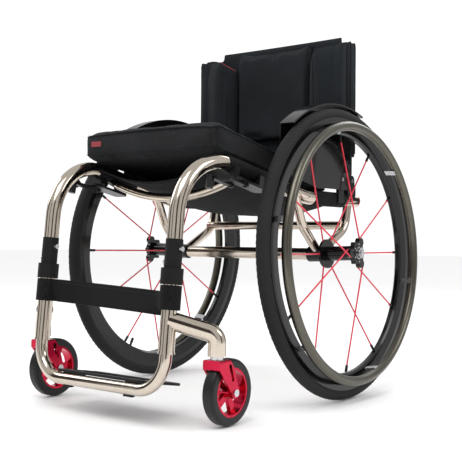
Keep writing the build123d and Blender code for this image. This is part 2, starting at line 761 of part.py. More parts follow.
# ---------------------------------------------------------------- brakes
slope_angle = math.atan(rail_slope)
brake_up = Vector(0, math.sin(slope_angle), math.cos(slope_angle))
brake_reach = 34.0  # the bracket's middle, behind the front of the rear tyre
brake_y = axle_y - wheel_radius + brake_reach
brake_x = 186.0
bar_drop = 26.0  # top of the bracket bar below the rail's centre line
bar_thickness = 5.0
bar_width = 36.0
bar_front, bar_back = -32.0, 66.0
brake_pin_r = 4.0
lever_pin = (8.0, 0.0)
shoe_pin = (-8.0, -22.0)
arm_thickness = 5.0
lever_length = 80.0
lever_width = 14.0
shoe_length = 60.0
shoe_width = 13.0
shoe_r = 7.0
shoe_height = 24.0
clamp_places = [-20.0, 52.0]
clamp_inner = 10.0  # how far each rail clamp reaches inboard of the rail's centre line
clamp_top = 2.0
lever_top = bar_drop + bar_thickness + moving_gap
shoe_arm_top = lever_top + arm_thickness + moving_gap

brake_planes = {}
for side_name, side in SIDES.items():
    brake_planes[side_name] = Plane(origin=(side * brake_x, brake_y, rail_z(brake_y)), x_dir=(side, 0, 0),
                                    z_dir=brake_up)

with BuildPart() as brake_brackets:
    for side_name, side in SIDES.items():
        plane = brake_planes[side_name]
        with BuildSketch(plane.offset(-bar_drop)) as bar:
            with Locations((0, side * (bar_front + bar_back) / 2)):
                RectangleRounded(bar_width, bar_back - bar_front, 8.0)
        extrude(bar.sketch, amount=-bar_thickness)
        for place in clamp_places:
            y = brake_y + place * math.cos(slope_angle)
            inner = rail_centre_x(y) - brake_x - clamp_inner
            outer = rail_centre_x(y) - brake_x + sleeve_r + 3.0
            with BuildSketch(plane.offset(-clamp_top)) as clamp:
                with Locations(((inner + outer) / 2, side * place)):
                    Rectangle(outer - inner, 14.0)
            extrude(clamp.sketch, amount=clamp_top - bar_drop)
        for pin, length in ((lever_pin, arm_thickness), (shoe_pin, 2 * arm_thickness + moving_gap)):
            with BuildSketch(plane.offset(-bar_drop - bar_thickness)) as pivot:
                with Locations((pin[0], side * pin[1])):
                    Circle(brake_pin_r)
            extrude(pivot.sketch, amount=-(length + moving_gap + 2.0))
    for side_name in SIDES:
        add(sleeve_cores[side_name], mode=Mode.SUBTRACT)
save(brake_brackets, "brake_brackets")

for side_name, side in SIDES.items():
    plane = brake_planes[side_name]
    with BuildPart() as brake_lever:
        with BuildSketch(plane.offset(-lever_top)):
            with Locations((lever_pin[0], side * (lever_pin[1] - lever_length / 2))):
                SlotCenterToCenter(lever_length, lever_width, rotation=90)
            with Locations((lever_pin[0], side * lever_pin[1])):
                Circle(brake_pin_r + running_clearance, mode=Mode.SUBTRACT)
        extrude(amount=-arm_thickness)
    save(brake_lever, f"brake_lever_{side_name}")

    with BuildPart() as brake_shoe:
        with BuildSketch(plane.offset(-shoe_arm_top)):
            with Locations((shoe_pin[0], side * (shoe_pin[1] - shoe_length / 2))):
                SlotCenterToCenter(shoe_length, shoe_width, rotation=90)
            with Locations((shoe_pin[0], side * shoe_pin[1])):
                Circle(brake_pin_r + running_clearance, mode=Mode.SUBTRACT)
        extrude(amount=-arm_thickness)
        with BuildSketch(plane.offset(-shoe_arm_top)):
            with Locations((shoe_pin[0], side * (shoe_pin[1] - shoe_length))):
                Circle(shoe_r)
        extrude(amount=-shoe_height)
    save(brake_shoe, f"brake_shoe_{side_name}")

# ---------------------------------------------------------------- rear wheels
section_r = wheel_radius - tyre_r  # radius of the tyre section's centre
flange_r = section_r - rim_flange_height + 1.0
rim_inner_r = flange_r - rim_depth
rim_half = rim_width / 2
bead_wall = 1.8
tyre_wall = 3.0
handrim_r = handrim_tube / 2
handrim_centre = handrim_radius - handrim_r
nipple_length = 14.0
nipple_r = 2.8
spoke_r = spoke_diameter / 2
flange_inner = (-38.0, 30.0)  # inner hub flange: place along the axle and radius
flange_outer = (32.0, 22.0)
flange_thickness = 5.0
hub_body_r = 15.0
hub_bearing_r = 12.5
hub_bearing_length = 8.0
lobe_r = 9.0
lobe_twist = 14.0
tab_count = 6
tab_phase = 45.0  # degrees from the rear, halfway between two spokes


def wheel_point(plane, radius, angle, along):
    """A point on a wheel: its radius, its angle from the rear, and its place along the axle."""
    return plane.from_local_coords(
        (radius * math.cos(math.radians(angle)), radius * math.sin(math.radians(angle)), along))


def spoke_ends(plane, number):
    """Both ends of one spoke: straight to the inner flange, or crossing to a lobe of the outer one."""
    angle = number * 360.0 / spoke_count
    rim_end = wheel_point(plane, rim_inner_r - 1.0, angle, 0)
    if number % 2 == 0:
        return wheel_point(plane, flange_inner[1] - 4.0, angle, flange_inner[0]), rim_end
    lobe = 60.0 + 120.0 * ((number - 1) // 4)
    across = lobe_twist if angle < lobe else -lobe_twist
    shift = 3.0 if angle < lobe else -3.0
    return wheel_point(plane, flange_outer[1] + 8.0, lobe + across, flange_outer[0] + shift), rim_end


for side_name, plane in wheel_planes.items():
    wheel_axis = Axis(plane.origin, plane.z_dir)
    section_plane = Plane(origin=plane.origin, x_dir=plane.z_dir, z_dir=plane.x_dir)
    with BuildPart() as tyre:
        with BuildSketch(section_plane):
            with Locations((0, section_r)):
                Circle(tyre_r)
                Circle(tyre_r - tyre_wall, mode=Mode.SUBTRACT)
            with Locations((0, flange_r)):
                Rectangle(4 * tyre_r, 2 * tyre_r, align=(Align.CENTER, Align.MAX), mode=Mode.SUBTRACT)
        revolve(axis=wheel_axis)
    save(tyre, f"tyre_{side_name}")

    with BuildPart() as rim:
        with BuildSketch(section_plane):
            Polygon(
                (-rim_half, flange_r), (rim_half, flange_r), (rim_half, flange_r - 11.0),
                (rim_half - 3.0, rim_inner_r + 4.0), (rim_half - 6.5, rim_inner_r),
                (-rim_half + 6.5, rim_inner_r), (-rim_half + 3.0, rim_inner_r + 4.0),
                (-rim_half, flange_r - 11.0), align=None)
            with Locations((0, flange_r)):
                Rectangle(rim_width - 2 * bead_wall, 12.0, mode=Mode.SUBTRACT)
            Polygon(
                (-rim_half + 2.0, flange_r - 10.0), (rim_half - 2.0, flange_r - 10.0),
                (rim_half - 5.0, rim_inner_r + 5.0), (rim_half - 7.5, rim_inner_r + 2.0),
                (-rim_half + 7.5, rim_inner_r + 2.0), (-rim_half + 5.0, rim_inner_r + 5.0),
                align=None, mode=Mode.SUBTRACT)
        revolve(axis=wheel_axis)
    save(rim, f"rim_{side_name}")

    with BuildPart() as handrim:
        with BuildSketch(section_plane):
            with Locations((handrim_offset, handrim_centre)):
                Circle(handrim_r)
                Circle(handrim_r - handrim_wall, mode=Mode.SUBTRACT)
        revolve(axis=wheel_axis)
    save(handrim, f"handrim_{side_name}")

    with BuildPart() as handrim_tabs:
        tab_bottom = rim_inner_r + 5.0
        with BuildSketch(section_plane) as tab_section:
            with BuildLine():
                Polyline((rim_half - 2.0, tab_bottom), (handrim_offset + 2.0, handrim_centre - handrim_r - 3.0),
                         (handrim_offset + 2.0, handrim_centre - handrim_r + 1.0),
                         (handrim_offset - 4.0, handrim_centre - handrim_r + 1.0),
                         (rim_half - 2.0, tab_bottom + 4.0), close=True)
            make_face()
        for number in range(tab_count):
            # the section lies at -90 degrees, so a quarter turn brings it to zero
            angle = 90.0 + tab_phase + 360.0 / tab_count * number
            turned = tab_section.sketch.rotate(wheel_axis, angle)
            extrude(turned, amount=6.0, both=True)
        with BuildSketch(plane.offset(-2 * rim_half)) as rim_disc:
            Circle(flange_r)
        extrude(rim_disc.sketch, amount=3 * rim_half, mode=Mode.SUBTRACT)
        with BuildSketch(section_plane) as handrim_section:
            with Locations((handrim_offset, handrim_centre)):
                Circle(handrim_r)
        revolve(handrim_section.sketch, axis=wheel_axis, mode=Mode.SUBTRACT)
    save(handrim_tabs, f"handrim_tabs_{side_name}")

    with BuildPart() as nipples:
        for number in range(spoke_count):
            inner, outer = spoke_ends(plane, number)
            start = outer + (inner - outer).normalized() * nipple_length
            rod(start, outer, nipple_r)
    save(nipples, f"nipples_{side_name}")

    with BuildPart() as spokes:
        for number in range(spoke_count):
            inner, outer = spoke_ends(plane, number)
            end = outer + (inner - outer).normalized() * nipple_length
            rod(inner, end, spoke_r)
    save(spokes, f"spokes_{side_name}")

    with BuildPart() as hub:
        with BuildSketch(plane.offset(-hub_inboard)) as hub_body:
            Circle(hub_body_r)
        extrude(hub_body.sketch, amount=hub_inboard + hub_outboard)
        with BuildSketch(plane.offset(flange_inner[0] - flange_thickness / 2)) as inner_flange:
            Circle(flange_inner[1])
        extrude(inner_flange.sketch, amount=flange_thickness)
        with BuildSketch(plane.offset(flange_outer[0] - flange_thickness)) as outer_flange:
            Circle(flange_outer[1])
            with PolarLocations(flange_outer[1] + 3.0, 3, start_angle=60.0):
                Circle(lobe_r)
            with PolarLocations(flange_outer[1] - 1.0, 3, start_angle=0.0):
                Circle(4.0)
        extrude(outer_flange.sketch, amount=2 * flange_thickness)
        with BuildSketch(plane.offset(-hub_inboard)) as hub_bore:
            Circle(hub_bearing_r - 2.0)
        extrude(hub_bore.sketch, amount=hub_inboard + hub_outboard, mode=Mode.SUBTRACT)
        for seat in (-hub_inboard, hub_outboard - hub_bearing_length):
            with BuildSketch(plane.offset(seat)) as bearing_seat:
                Circle(hub_bearing_r)
            extrude(bearing_seat.sketch, amount=hub_bearing_length, mode=Mode.SUBTRACT)
        for number in range(spoke_count):
            inner, outer = spoke_ends(plane, number)
            rod(inner, outer, spoke_r, Mode.SUBTRACT)
    save(hub, f"hub_{side_name}")

    with BuildPart() as hub_bearings:
        for seat in (-hub_inboard, hub_outboard - hub_bearing_length):
            with BuildSketch(plane.offset(seat)) as race:
                Circle(hub_bearing_r)
                Circle(axle_bore, mode=Mode.SUBTRACT)
            extrude(race.sketch, amount=hub_bearing_length)
    save(hub_bearings, f"hub_bearings_{side_name}")

# ---------------------------------------------------------------- casters
caster_axle_z = caster_radius
caster_half = caster_width / 2
fork_inner = caster_half + 1.5
fork_outer = fork_inner + fork_wall
arch_r = caster_radius + 1.5
caster_rim_r = 43.0
caster_lip = 4.0
caster_hub_r = 11.0
caster_hub_half = fork_inner - moving_gap
caster_axle_r = 4.0
caster_spokes = 5
leg_half_width = 10.0
slot_width = 7.0
slot_from, slot_to = 20.0, 52.0

for side_name, side in SIDES.items():
    x = side * caster_x
    side_plane = Plane(origin=(x, caster_axle_y, caster_axle_z), x_dir=(0, 1, 0), z_dir=(1, 0, 0))
    axle_line = Axis((x, caster_axle_y, caster_axle_z), (1, 0, 0))
    with BuildPart() as caster_fork:
        with BuildSketch(side_plane.offset(-fork_outer)):
            with BuildLine():
                Polyline((-caster_trail - 15.0, crown_top - caster_axle_z),
                         (-caster_trail + 15.0, crown_top - caster_axle_z),
                         (-2.0, 40.0), (leg_half_width, 0), (-leg_half_width, 0),
                         (-caster_trail - 15.0, crown_top - caster_axle_z - 16.0), close=True)
            make_face()
            Circle(leg_half_width)
        extrude(amount=2 * fork_outer)
        fillet(caster_fork.edges().filter_by(Axis.Y).sort_by(Axis.Z)[-2:], radius=4.0)
        with BuildSketch(side_plane.offset(-fork_inner)):
            Circle(arch_r)
            with Locations((0, -caster_axle_z)):
                Rectangle(2 * caster_radius, 2 * caster_axle_z)
        extrude(amount=2 * fork_inner, mode=Mode.SUBTRACT)
        with BuildSketch(side_plane.offset(-fork_outer)):
            middle = (slot_from + slot_to) / 2
            with Locations((-middle * 0.32, middle)):
                SlotOverall(slot_to - slot_from, slot_width, rotation=108)
        extrude(amount=2 * fork_outer, mode=Mode.SUBTRACT)
        with BuildSketch(side_plane.offset(-fork_outer)):
            Circle(caster_axle_r)
        extrude(amount=2 * fork_outer, mode=Mode.SUBTRACT)
        with BuildSketch(Plane(origin=(x, caster_y, crown_top - 12.0))):
            Circle(stem_diameter / 2)
        extrude(amount=20.0, mode=Mode.SUBTRACT)
    save(caster_fork, f"caster_fork_{side_name}")

    with BuildPart() as caster_bolts:
        rod((x, caster_y, crown_top - 4.0), (x, caster_y, stem_top), stem_diameter / 2)
        rod((x, caster_y, crown_top), (x, caster_y, barrel_bottom - moving_gap), stem_diameter / 2 + 5.0)
        rod((x - fork_outer, caster_axle_y, caster_axle_z), (x + fork_outer, caster_axle_y, caster_axle_z),
            caster_axle_r)
        for face in (-1, 1):
            rod((x + face * fork_outer, caster_axle_y, caster_axle_z),
                (x + face * (fork_outer + 2.5), caster_axle_y, caster_axle_z), caster_axle_r + 2.5)
    save(caster_bolts, f"caster_bolts_{side_name}")

    caster_section = Plane(origin=(x, caster_axle_y, caster_axle_z), x_dir=(1, 0, 0), z_dir=(0, -1, 0))
    with BuildPart() as caster_tyre:
        with BuildSketch(caster_section):
            with Locations((0, (caster_radius + caster_rim_r) / 2)):
                RectangleRounded(caster_width, caster_radius - caster_rim_r, 7.0)
            with Locations((0, caster_rim_r)):
                Rectangle(caster_width, 7.0, align=(Align.CENTER, Align.MIN))
        revolve(axis=axle_line)
    save(caster_tyre, f"caster_tyre_{side_name}")

    with BuildPart() as caster_rim:
        with BuildSketch(caster_section) as band_section:
            with Locations((0, caster_rim_r)):
                Rectangle(caster_width - 1.0, caster_lip, align=(Align.CENTER, Align.MAX))
        revolve(band_section.sketch, axis=axle_line)
        with BuildSketch(side_plane.offset(-caster_hub_half)) as hub_disc:
            Circle(caster_hub_r)
        extrude(hub_disc.sketch, amount=2 * caster_hub_half)
        with BuildSketch(side_plane.offset(-4.0)) as arms:
            with PolarLocations(0, caster_spokes):
                with Locations(((caster_rim_r + caster_hub_r) / 2 - 1.0, 0)):
                    Trapezoid(caster_rim_r - caster_hub_r, 12.0, 80)
        extrude(arms.sketch, amount=8.0)
        with BuildSketch(side_plane.offset(-caster_hub_half)) as axle_hole:
            Circle(caster_axle_r + running_clearance)
        extrude(axle_hole.sketch, amount=2 * caster_hub_half, mode=Mode.SUBTRACT)
    save(caster_rim, f"caster_rim_{side_name}")
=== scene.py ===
"""Looks of the rigid-frame manual wheelchair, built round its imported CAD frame, in metres."""
import json
import logging
import math
from dataclasses import dataclass, field
from enum import Enum

import bmesh
import bpy
from mathutils import Matrix, Vector
from mathutils.bvhtree import BVHTree


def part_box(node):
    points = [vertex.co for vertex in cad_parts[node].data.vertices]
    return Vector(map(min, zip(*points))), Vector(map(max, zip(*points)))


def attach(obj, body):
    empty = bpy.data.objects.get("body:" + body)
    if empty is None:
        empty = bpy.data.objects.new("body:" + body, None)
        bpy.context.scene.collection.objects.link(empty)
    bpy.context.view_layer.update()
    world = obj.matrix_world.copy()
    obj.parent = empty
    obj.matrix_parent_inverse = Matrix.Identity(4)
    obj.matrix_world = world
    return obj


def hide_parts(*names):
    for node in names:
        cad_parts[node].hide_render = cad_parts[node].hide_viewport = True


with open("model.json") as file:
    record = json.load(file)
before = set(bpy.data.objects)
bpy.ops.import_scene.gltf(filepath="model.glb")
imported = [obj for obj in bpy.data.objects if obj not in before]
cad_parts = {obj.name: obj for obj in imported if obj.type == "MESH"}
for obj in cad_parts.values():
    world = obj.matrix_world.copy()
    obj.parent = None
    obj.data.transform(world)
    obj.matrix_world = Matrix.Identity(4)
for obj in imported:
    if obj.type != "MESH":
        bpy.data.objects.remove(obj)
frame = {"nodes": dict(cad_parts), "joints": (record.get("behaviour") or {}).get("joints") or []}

logging.basicConfig(level=logging.INFO, format="%(name)s: %(message)s")
LOG = logging.getLogger("wheelchair")

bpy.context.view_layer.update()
SIDES: dict[str, int] = {"left": 1, "right": -1}
FULL_TURN = 2.0 * math.pi
THREAD_SECTIONS = 6


# ------------------------------------------------------------------ finishes
class Pattern(Enum):
    """How the surface of a finish varies."""

    SPECKLE = "speckle"
    WEAVE = "weave"
    SPACER_MESH = "spacer mesh"
    BRUSHED = "brushed"


@dataclass(frozen=True)
class Finish:
    """One finish: its colours, gloss and surface pattern, with lengths in metres.

    Args:
        name: the material's name.
        dark: the darker colour of the variation.
        light: the lighter colour of the variation.
        rough: lowest and highest roughness.
        metal: metallic share.
        coat: clear coat weight.
        pattern: the surface's small pattern.
        pitch: distance between the pattern's repeats.
        depth: height of the pattern's bumps.
        sheen: weight of the cloth sheen.
        specular: specular level of the shader.
    """

    name: str
    dark: tuple[float, float, float]
    light: tuple[float, float, float]
    rough: tuple[float, float]
    metal: float = 0.0
    coat: float = 0.0
    pattern: Pattern = Pattern.SPECKLE
    pitch: float = 0.002
    depth: float = 0.0001
    sheen: float = 0.0
    specular: float = 0.5


TITANIUM = Finish("titanium", (0.52, 0.45, 0.375), (0.63, 0.565, 0.485), (0.08, 0.16), 1.0,
                  pattern=Pattern.BRUSHED, pitch=0.004, depth=0.00001)
HANDRIM = Finish("handrim_satin", (0.09, 0.085, 0.07), (0.145, 0.138, 0.113), (0.24, 0.36), 1.0,
                 pattern=Pattern.BRUSHED, pitch=0.003, depth=0.00002)
STEEL = Finish("steel", (0.48, 0.48, 0.5), (0.66, 0.66, 0.68), (0.2, 0.32), 1.0, pattern=Pattern.BRUSHED,
               pitch=0.002, depth=0.00001)
BLACK_ANODISED = Finish("black_anodised", (0.004, 0.004, 0.0045), (0.01, 0.01, 0.011), (0.3, 0.42), 0.3,
                        pitch=0.0012, depth=0.00002)
GLOSS_BLACK = Finish("gloss_black", (0.0018, 0.0018, 0.002), (0.004, 0.004, 0.0045), (0.12, 0.22), 0.0, 0.15,
                     pitch=0.03, depth=0.00001, specular=0.28)
RED_ANODISED = Finish("red_anodised", (0.42, 0.004, 0.03), (0.6, 0.008, 0.05), (0.18, 0.27), 0.95, 0.2,
                      pitch=0.006, depth=0.00001)
RED_SPOKE = Finish("red_spoke", (0.55, 0.01, 0.035), (0.68, 0.02, 0.05), (0.3, 0.42), 0.0, 0.2,
                   pitch=0.003, depth=0.00002)
TYRE = Finish("tyre_rubber", (0.008, 0.008, 0.008), (0.017, 0.017, 0.017), (0.6, 0.78), pitch=0.0016,
              depth=0.00012, specular=0.22)
CASTER_RUBBER = Finish("caster_rubber", (0.0025, 0.0025, 0.0025), (0.006, 0.006, 0.006), (0.34, 0.48),
                       pitch=0.002, depth=0.00004, specular=0.35)
GRIP_RUBBER = Finish("grip_rubber", (0.003, 0.003, 0.003), (0.008, 0.008, 0.008), (0.55, 0.7), pitch=0.0018,
                     depth=0.00015, specular=0.2)
MOULDED = Finish("moulded_black", (0.003, 0.003, 0.0032), (0.007, 0.007, 0.0075), (0.36, 0.5), pitch=0.0014,
                 depth=0.00006, specular=0.3)
WEBBING = Finish("webbing", (0.003, 0.003, 0.0033), (0.011, 0.011, 0.0117), (0.8, 0.95),
                 pattern=Pattern.WEAVE, pitch=0.0022, depth=0.0003, sheen=0.02, specular=0.12)
KNIT = Finish("back_knit", (0.006, 0.0072, 0.0086), (0.016, 0.019, 0.022), (0.8, 0.95), pattern=Pattern.WEAVE,
              pitch=0.0018, depth=0.0002, sheen=0.02, specular=0.12)
SPACER = Finish("spacer_mesh", (0.002, 0.0021, 0.0024), (0.021, 0.022, 0.0245), (0.66, 0.9),
                pattern=Pattern.SPACER_MESH, pitch=0.0048, depth=0.0009, sheen=0.02,
                specular=0.15)
PIPING = Finish("piping_red", (0.16, 0.006, 0.012), (0.24, 0.012, 0.02), (0.6, 0.75), pattern=Pattern.WEAVE,
                pitch=0.0012, depth=0.0001, sheen=0.2)
THREAD = Finish("thread", (0.012, 0.012, 0.013), (0.022, 0.022, 0.024), (0.6, 0.75), pitch=0.0008,
                depth=0.00005)
FLOOR = Finish("studio_floor", (0.9, 0.9, 0.9), (0.92, 0.92, 0.92), (0.55, 0.65), pitch=0.5, depth=0.0)
CARD = Finish("card", (0.02, 0.017, 0.015), (0.03, 0.026, 0.022), (0.9, 0.95), pitch=0.5, depth=0.0)

CAD_FINISHES: dict[str, Finish] = {
    "side_frames": TITANIUM, "axle_loops": TITANIUM, "camber_tube": TITANIUM, "upper_crossbar": TITANIUM,
    "bowed_crossbar": TITANIUM, "caster_arms": TITANIUM, "footrest_tube": TITANIUM, "leg_bushings": TITANIUM,
    "axle_receivers": BLACK_ANODISED, "plate_clamps": BLACK_ANODISED, "hinge_blocks": BLACK_ANODISED,
    "brake_brackets": BLACK_ANODISED, "guard_standoffs": BLACK_ANODISED, "back_canes": BLACK_ANODISED,
    "rigidizer_bar": BLACK_ANODISED, "brake_lever": BLACK_ANODISED, "brake_shoe": BLACK_ANODISED,
    "swivel_bearings": STEEL, "hub_bearings": STEEL, "axle_pins": STEEL, "hinge_pins": STEEL,
    "leg_screws": STEEL, "caster_bolts": STEEL, "release_button": STEEL, "handrim_tabs": STEEL,
    "leg_sleeves": GRIP_RUBBER, "strap_collars": GRIP_RUBBER, "grip_strips": GRIP_RUBBER,
    "side_guards": GLOSS_BLACK, "footplate": MOULDED, "tyre": TYRE, "caster_tyre": CASTER_RUBBER,
    "rim": GLOSS_BLACK, "hub": GLOSS_BLACK, "handrim": HANDRIM, "spokes": RED_SPOKE, "nipples": MOULDED,
    "caster_fork": RED_ANODISED, "caster_rim": RED_ANODISED,
}


class PatternGroups:
    """Builds each shared shader node group once."""

    def __init__(self) -> None:
        """Starts with no group built."""
        self._made: dict[Pattern, bpy.types.NodeTree] = {}

    def get(self, pattern: Pattern) -> bpy.types.NodeTree:
        """The node group of a pattern.

        Args:
            pattern: which pattern.

        Returns:
            A group with Pitch in, and Mask and Height out, both from 0 to 1.
        """
        if pattern not in self._made:
            self._made[pattern] = self._build(pattern)
        return self._made[pattern]

    def _build(self, pattern: Pattern) -> bpy.types.NodeTree:
        """Makes one group on object coordinates.

        Args:
            pattern: which pattern.

        Returns:
            The new group.
        """
        tree = bpy.data.node_groups.new(f"pattern_{pattern.name.lower()}", "ShaderNodeTree")
        tree.interface.new_socket("Pitch", in_out="INPUT", socket_type="NodeSocketFloat")
        for name in ("Mask", "Height"):
            tree.interface.new_socket(name, in_out="OUTPUT", socket_type="NodeSocketFloat")
        add, link = tree.nodes.new, tree.links.new
        inputs, outputs = add("NodeGroupInput"), add("NodeGroupOutput")
        coords = add("ShaderNodeTexCoord")

        def calc(operation: str, first: object, second: object = None) -> bpy.types.NodeSocket:
            """One Math node. Returns its result."""
            node = add("ShaderNodeMath")
            node.operation = operation
            for place, value in enumerate((first, second)):
                if isinstance(value, bpy.types.NodeSocket):
                    link(value, node.inputs[place])
                elif value is not None:
                    node.inputs[place].default_value = value
            return node.outputs[0]

        cloud = add("ShaderNodeTexNoise")
        cloud.inputs["Scale"].default_value = 9.0
        cloud.inputs["Detail"].default_value = 3.0
        link(coords.outputs["Object"], cloud.inputs["Vector"])
        frequency = calc("DIVIDE", 1.0, inputs.outputs["Pitch"])
        if pattern in (Pattern.WEAVE, Pattern.SPACER_MESH):
            split = add("ShaderNodeSeparateXYZ")
            link(coords.outputs["Object"], split.inputs[0])
            turn = calc("MULTIPLY", frequency, math.pi)
            x, y, z = (calc("MULTIPLY", split.outputs[place], turn) for place in range(3))
            flat = calc("ADD", x, y)
            slant = (calc("SINE", calc("ADD", flat, z)), calc("SINE", calc("SUBTRACT", flat, z)))
            cross = calc("SINE", calc("SUBTRACT", x, y))
            height = calc("ABSOLUTE", calc("MULTIPLY", *slant))
            if pattern is Pattern.SPACER_MESH:
                height = calc("SUBTRACT", 1.0, calc("POWER", height, 0.6))
            else:
                height = calc("MULTIPLY", calc("ADD", height, calc("ABSOLUTE", cross)), 0.5)
            mask = calc("MULTIPLY", calc("ADD", height, cloud.outputs[0]), 0.5)
        else:
            fine = add("ShaderNodeTexNoise")
            fine.inputs["Detail"].default_value = 4.0
            link(frequency, fine.inputs["Scale"])
            if pattern is Pattern.BRUSHED:
                stretch = add("ShaderNodeMapping")
                stretch.inputs["Scale"].default_value = (1.0, 1.0, 0.12)
                link(coords.outputs["Object"], stretch.inputs["Vector"])
                link(stretch.outputs[0], fine.inputs["Vector"])
            else:
                link(coords.outputs["Object"], fine.inputs["Vector"])
            height = fine.outputs[0]
            mask = calc("MULTIPLY", calc("ADD", height, cloud.outputs[0]), 0.5)
        link(mask, outputs.inputs["Mask"])
        link(height, outputs.inputs["Height"])
        return tree


class Paint:
    """Turns finishes into materials, each made once."""

    def __init__(self) -> None:
        """Starts with no material made."""
        self._groups = PatternGroups()
        self._made: dict[str, bpy.types.Material] = {}

    def material(self, finish: Finish) -> bpy.types.Material:
        """The material of a finish.

        Args:
            finish: the finish.

        Returns:
            Its material.
        """
        if finish.name in self._made:
            return self._made[finish.name]
        made = bpy.data.materials.new(finish.name)
        made.use_nodes = True
        tree = made.node_tree
        shader = tree.nodes["Principled BSDF"]
        pattern = tree.nodes.new("ShaderNodeGroup")
        pattern.node_tree = self._groups.get(finish.pattern)
        pattern.inputs["Pitch"].default_value = finish.pitch
        ramp = tree.nodes.new("ShaderNodeValToRGB")
        ramp.color_ramp.elements[0].position, ramp.color_ramp.elements[1].position = 0.3, 0.7
        ramp.color_ramp.elements[0].color = (*finish.dark, 1.0)
        ramp.color_ramp.elements[1].color = (*finish.light, 1.0)
        gloss = tree.nodes.new("ShaderNodeMapRange")
        gloss.inputs["To Min"].default_value, gloss.inputs["To Max"].default_value = finish.rough
        tree.links.new(pattern.outputs["Mask"], ramp.inputs[0])
        tree.links.new(pattern.outputs["Mask"], gloss.inputs["Value"])
        tree.links.new(ramp.outputs[0], shader.inputs["Base Color"])
        tree.links.new(gloss.outputs[0], shader.inputs["Roughness"])
        if finish.depth:
            bump = tree.nodes.new("ShaderNodeBump")
            bump.inputs["Distance"].default_value = finish.depth
            tree.links.new(pattern.outputs["Height"], bump.inputs["Height"])
            tree.links.new(bump.outputs[0], shader.inputs["Normal"])
        shader.inputs["Metallic"].default_value = finish.metal
        shader.inputs["Coat Weight"].default_value = finish.coat
        shader.inputs["Sheen Weight"].default_value = finish.sheen
        shader.inputs["Specular IOR Level"].default_value = finish.specular
        self._made[finish.name] = made
        return made

    def dress(self, piece: bpy.types.Object, finish: Finish) -> None:
        """Gives a whole piece one finish.

        Args:
            piece: the piece.
            finish: its finish.
        """
        if piece.material_slots:
            for place in piece.material_slots:
                place.material = self.material(finish)
        else:
            piece.data.materials.append(self.material(finish))


PAINT = Paint()


# ------------------------------------------------------------------ mesh helpers
def new_piece(name: str, mesh: bpy.types.Mesh, finish: Finish, body: str) -> bpy.types.Object:
    """Adds a finished piece at the origin, riding on its body.

    Args:
        name: the piece's name.
        mesh: its mesh, in the row frame.
        finish: its finish.
        body: the CAD body that it moves with.

    Returns:
        The piece.
    """
    piece = bpy.data.objects.new(name, mesh)
    bpy.context.scene.collection.objects.link(piece)
    PAINT.dress(piece, finish)
    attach(piece, body)
    LOG.info("%s: %d faces, on %s", name, len(mesh.polygons), body)
    return piece


def settle_normals(work: bmesh.types.BMesh) -> None:
    """Merges doubles and points every face outwards."""
    bmesh.ops.remove_doubles(work, verts=work.verts, dist=1e-6)
    bmesh.ops.recalc_face_normals(work, faces=work.faces)


def to_mesh(work: bmesh.types.BMesh, name: str, smooth: bool = True) -> bpy.types.Mesh:
    """Writes a bmesh out and frees it.

    Args:
        work: the bmesh.
        name: the mesh's name.
        smooth: whether faces are smooth.

    Returns:
        The mesh.
    """
    for face in work.faces:
        face.smooth = smooth
    mesh = bpy.data.meshes.new(name)
    work.to_mesh(mesh)
    work.free()
    return mesh


def tube_along(work: bmesh.types.BMesh, points: list[Vector], radius: float, closed: bool = False,
               sections: int = THREAD_SECTIONS) -> None:
    """Adds a round tube along points, with turning-free cross sections.

    Args:
        work: the bmesh added to.
        points: the tube's centre line.
        radius: the tube's radius.
        closed: whether the line joins its own start.
        sections: sides of the tube.
    """
    count = len(points)
    rings, guide = [], None
    for place, point in enumerate(points):
        ahead = points[(place + 1) % count] if closed or place + 1 < count else point
        behind = points[place - 1] if closed or place else point
        along = (ahead - behind).normalized()
        if guide is None:
            guide = along.orthogonal().normalized()
        guide = (guide - along * guide.dot(along)).normalized()
        across = along.cross(guide)
        rings.append([work.verts.new(point + (guide * math.cos(a) + across * math.sin(a)) * radius)
                      for a in (FULL_TURN * k / sections for k in range(sections))])
    pairs = list(zip(rings, rings[1:])) + ([(rings[-1], rings[0])] if closed else [])
    for first, second in pairs:
        for k in range(sections):
            j = (k + 1) % sections
            work.faces.new((first[k], first[j], second[j], second[k]))
    if not closed:
        work.faces.new(list(reversed(rings[0])))
        work.faces.new(rings[-1])


def lathe(work: bmesh.types.BMesh, profile: list[tuple[float, float]], place: Matrix, sections: int) -> None:
    """Turns a closed profile of (radius, height) points about a Z axis, then sets it in place.

    Args:
        work: the bmesh added to.
        profile: points of the section; a radius of zero closes it at the axis.
        place: where the axis lies.
        sections: sides round the axis.
    """
    rings = []
    for radius, height in profile:
        if radius < 1e-7:
            rings.append([work.verts.new(place @ Vector((0.0, 0.0, height)))])
        else:
            rings.append([work.verts.new(place @ Vector((radius * math.cos(a), radius * math.sin(a), height)))
                          for a in (FULL_TURN * k / sections for k in range(sections))])
    loop = zip(rings, rings[1:] + rings[:1])
    for first, second in loop:
        if len(first) == 1 and len(second) == 1:
            continue
        for k in range(sections):
            j = (k + 1) % sections
            corners = [first[k % len(first)], first[j % len(first)], second[j % len(second)],
                       second[k % len(second)]]
            work.faces.new(list(dict.fromkeys(corners)))


def aimed(place: Vector, aim: Vector, along: Vector | None = None) -> Matrix:
    """A matrix whose Z axis points along aim and whose X axis is as near to along as it can be.

    Args:
        place: the origin.
        aim: the Z direction.
        along: the wished X direction.

    Returns:
        The matrix.
    """
    z = aim.normalized()
    hint = along if along is not None else z.orthogonal()
    x = (hint - z * hint.dot(z)).normalized()
    y = z.cross(x)
    turn = Matrix((x, y, z)).transposed().to_4x4()
    return Matrix.Translation(place) @ turn


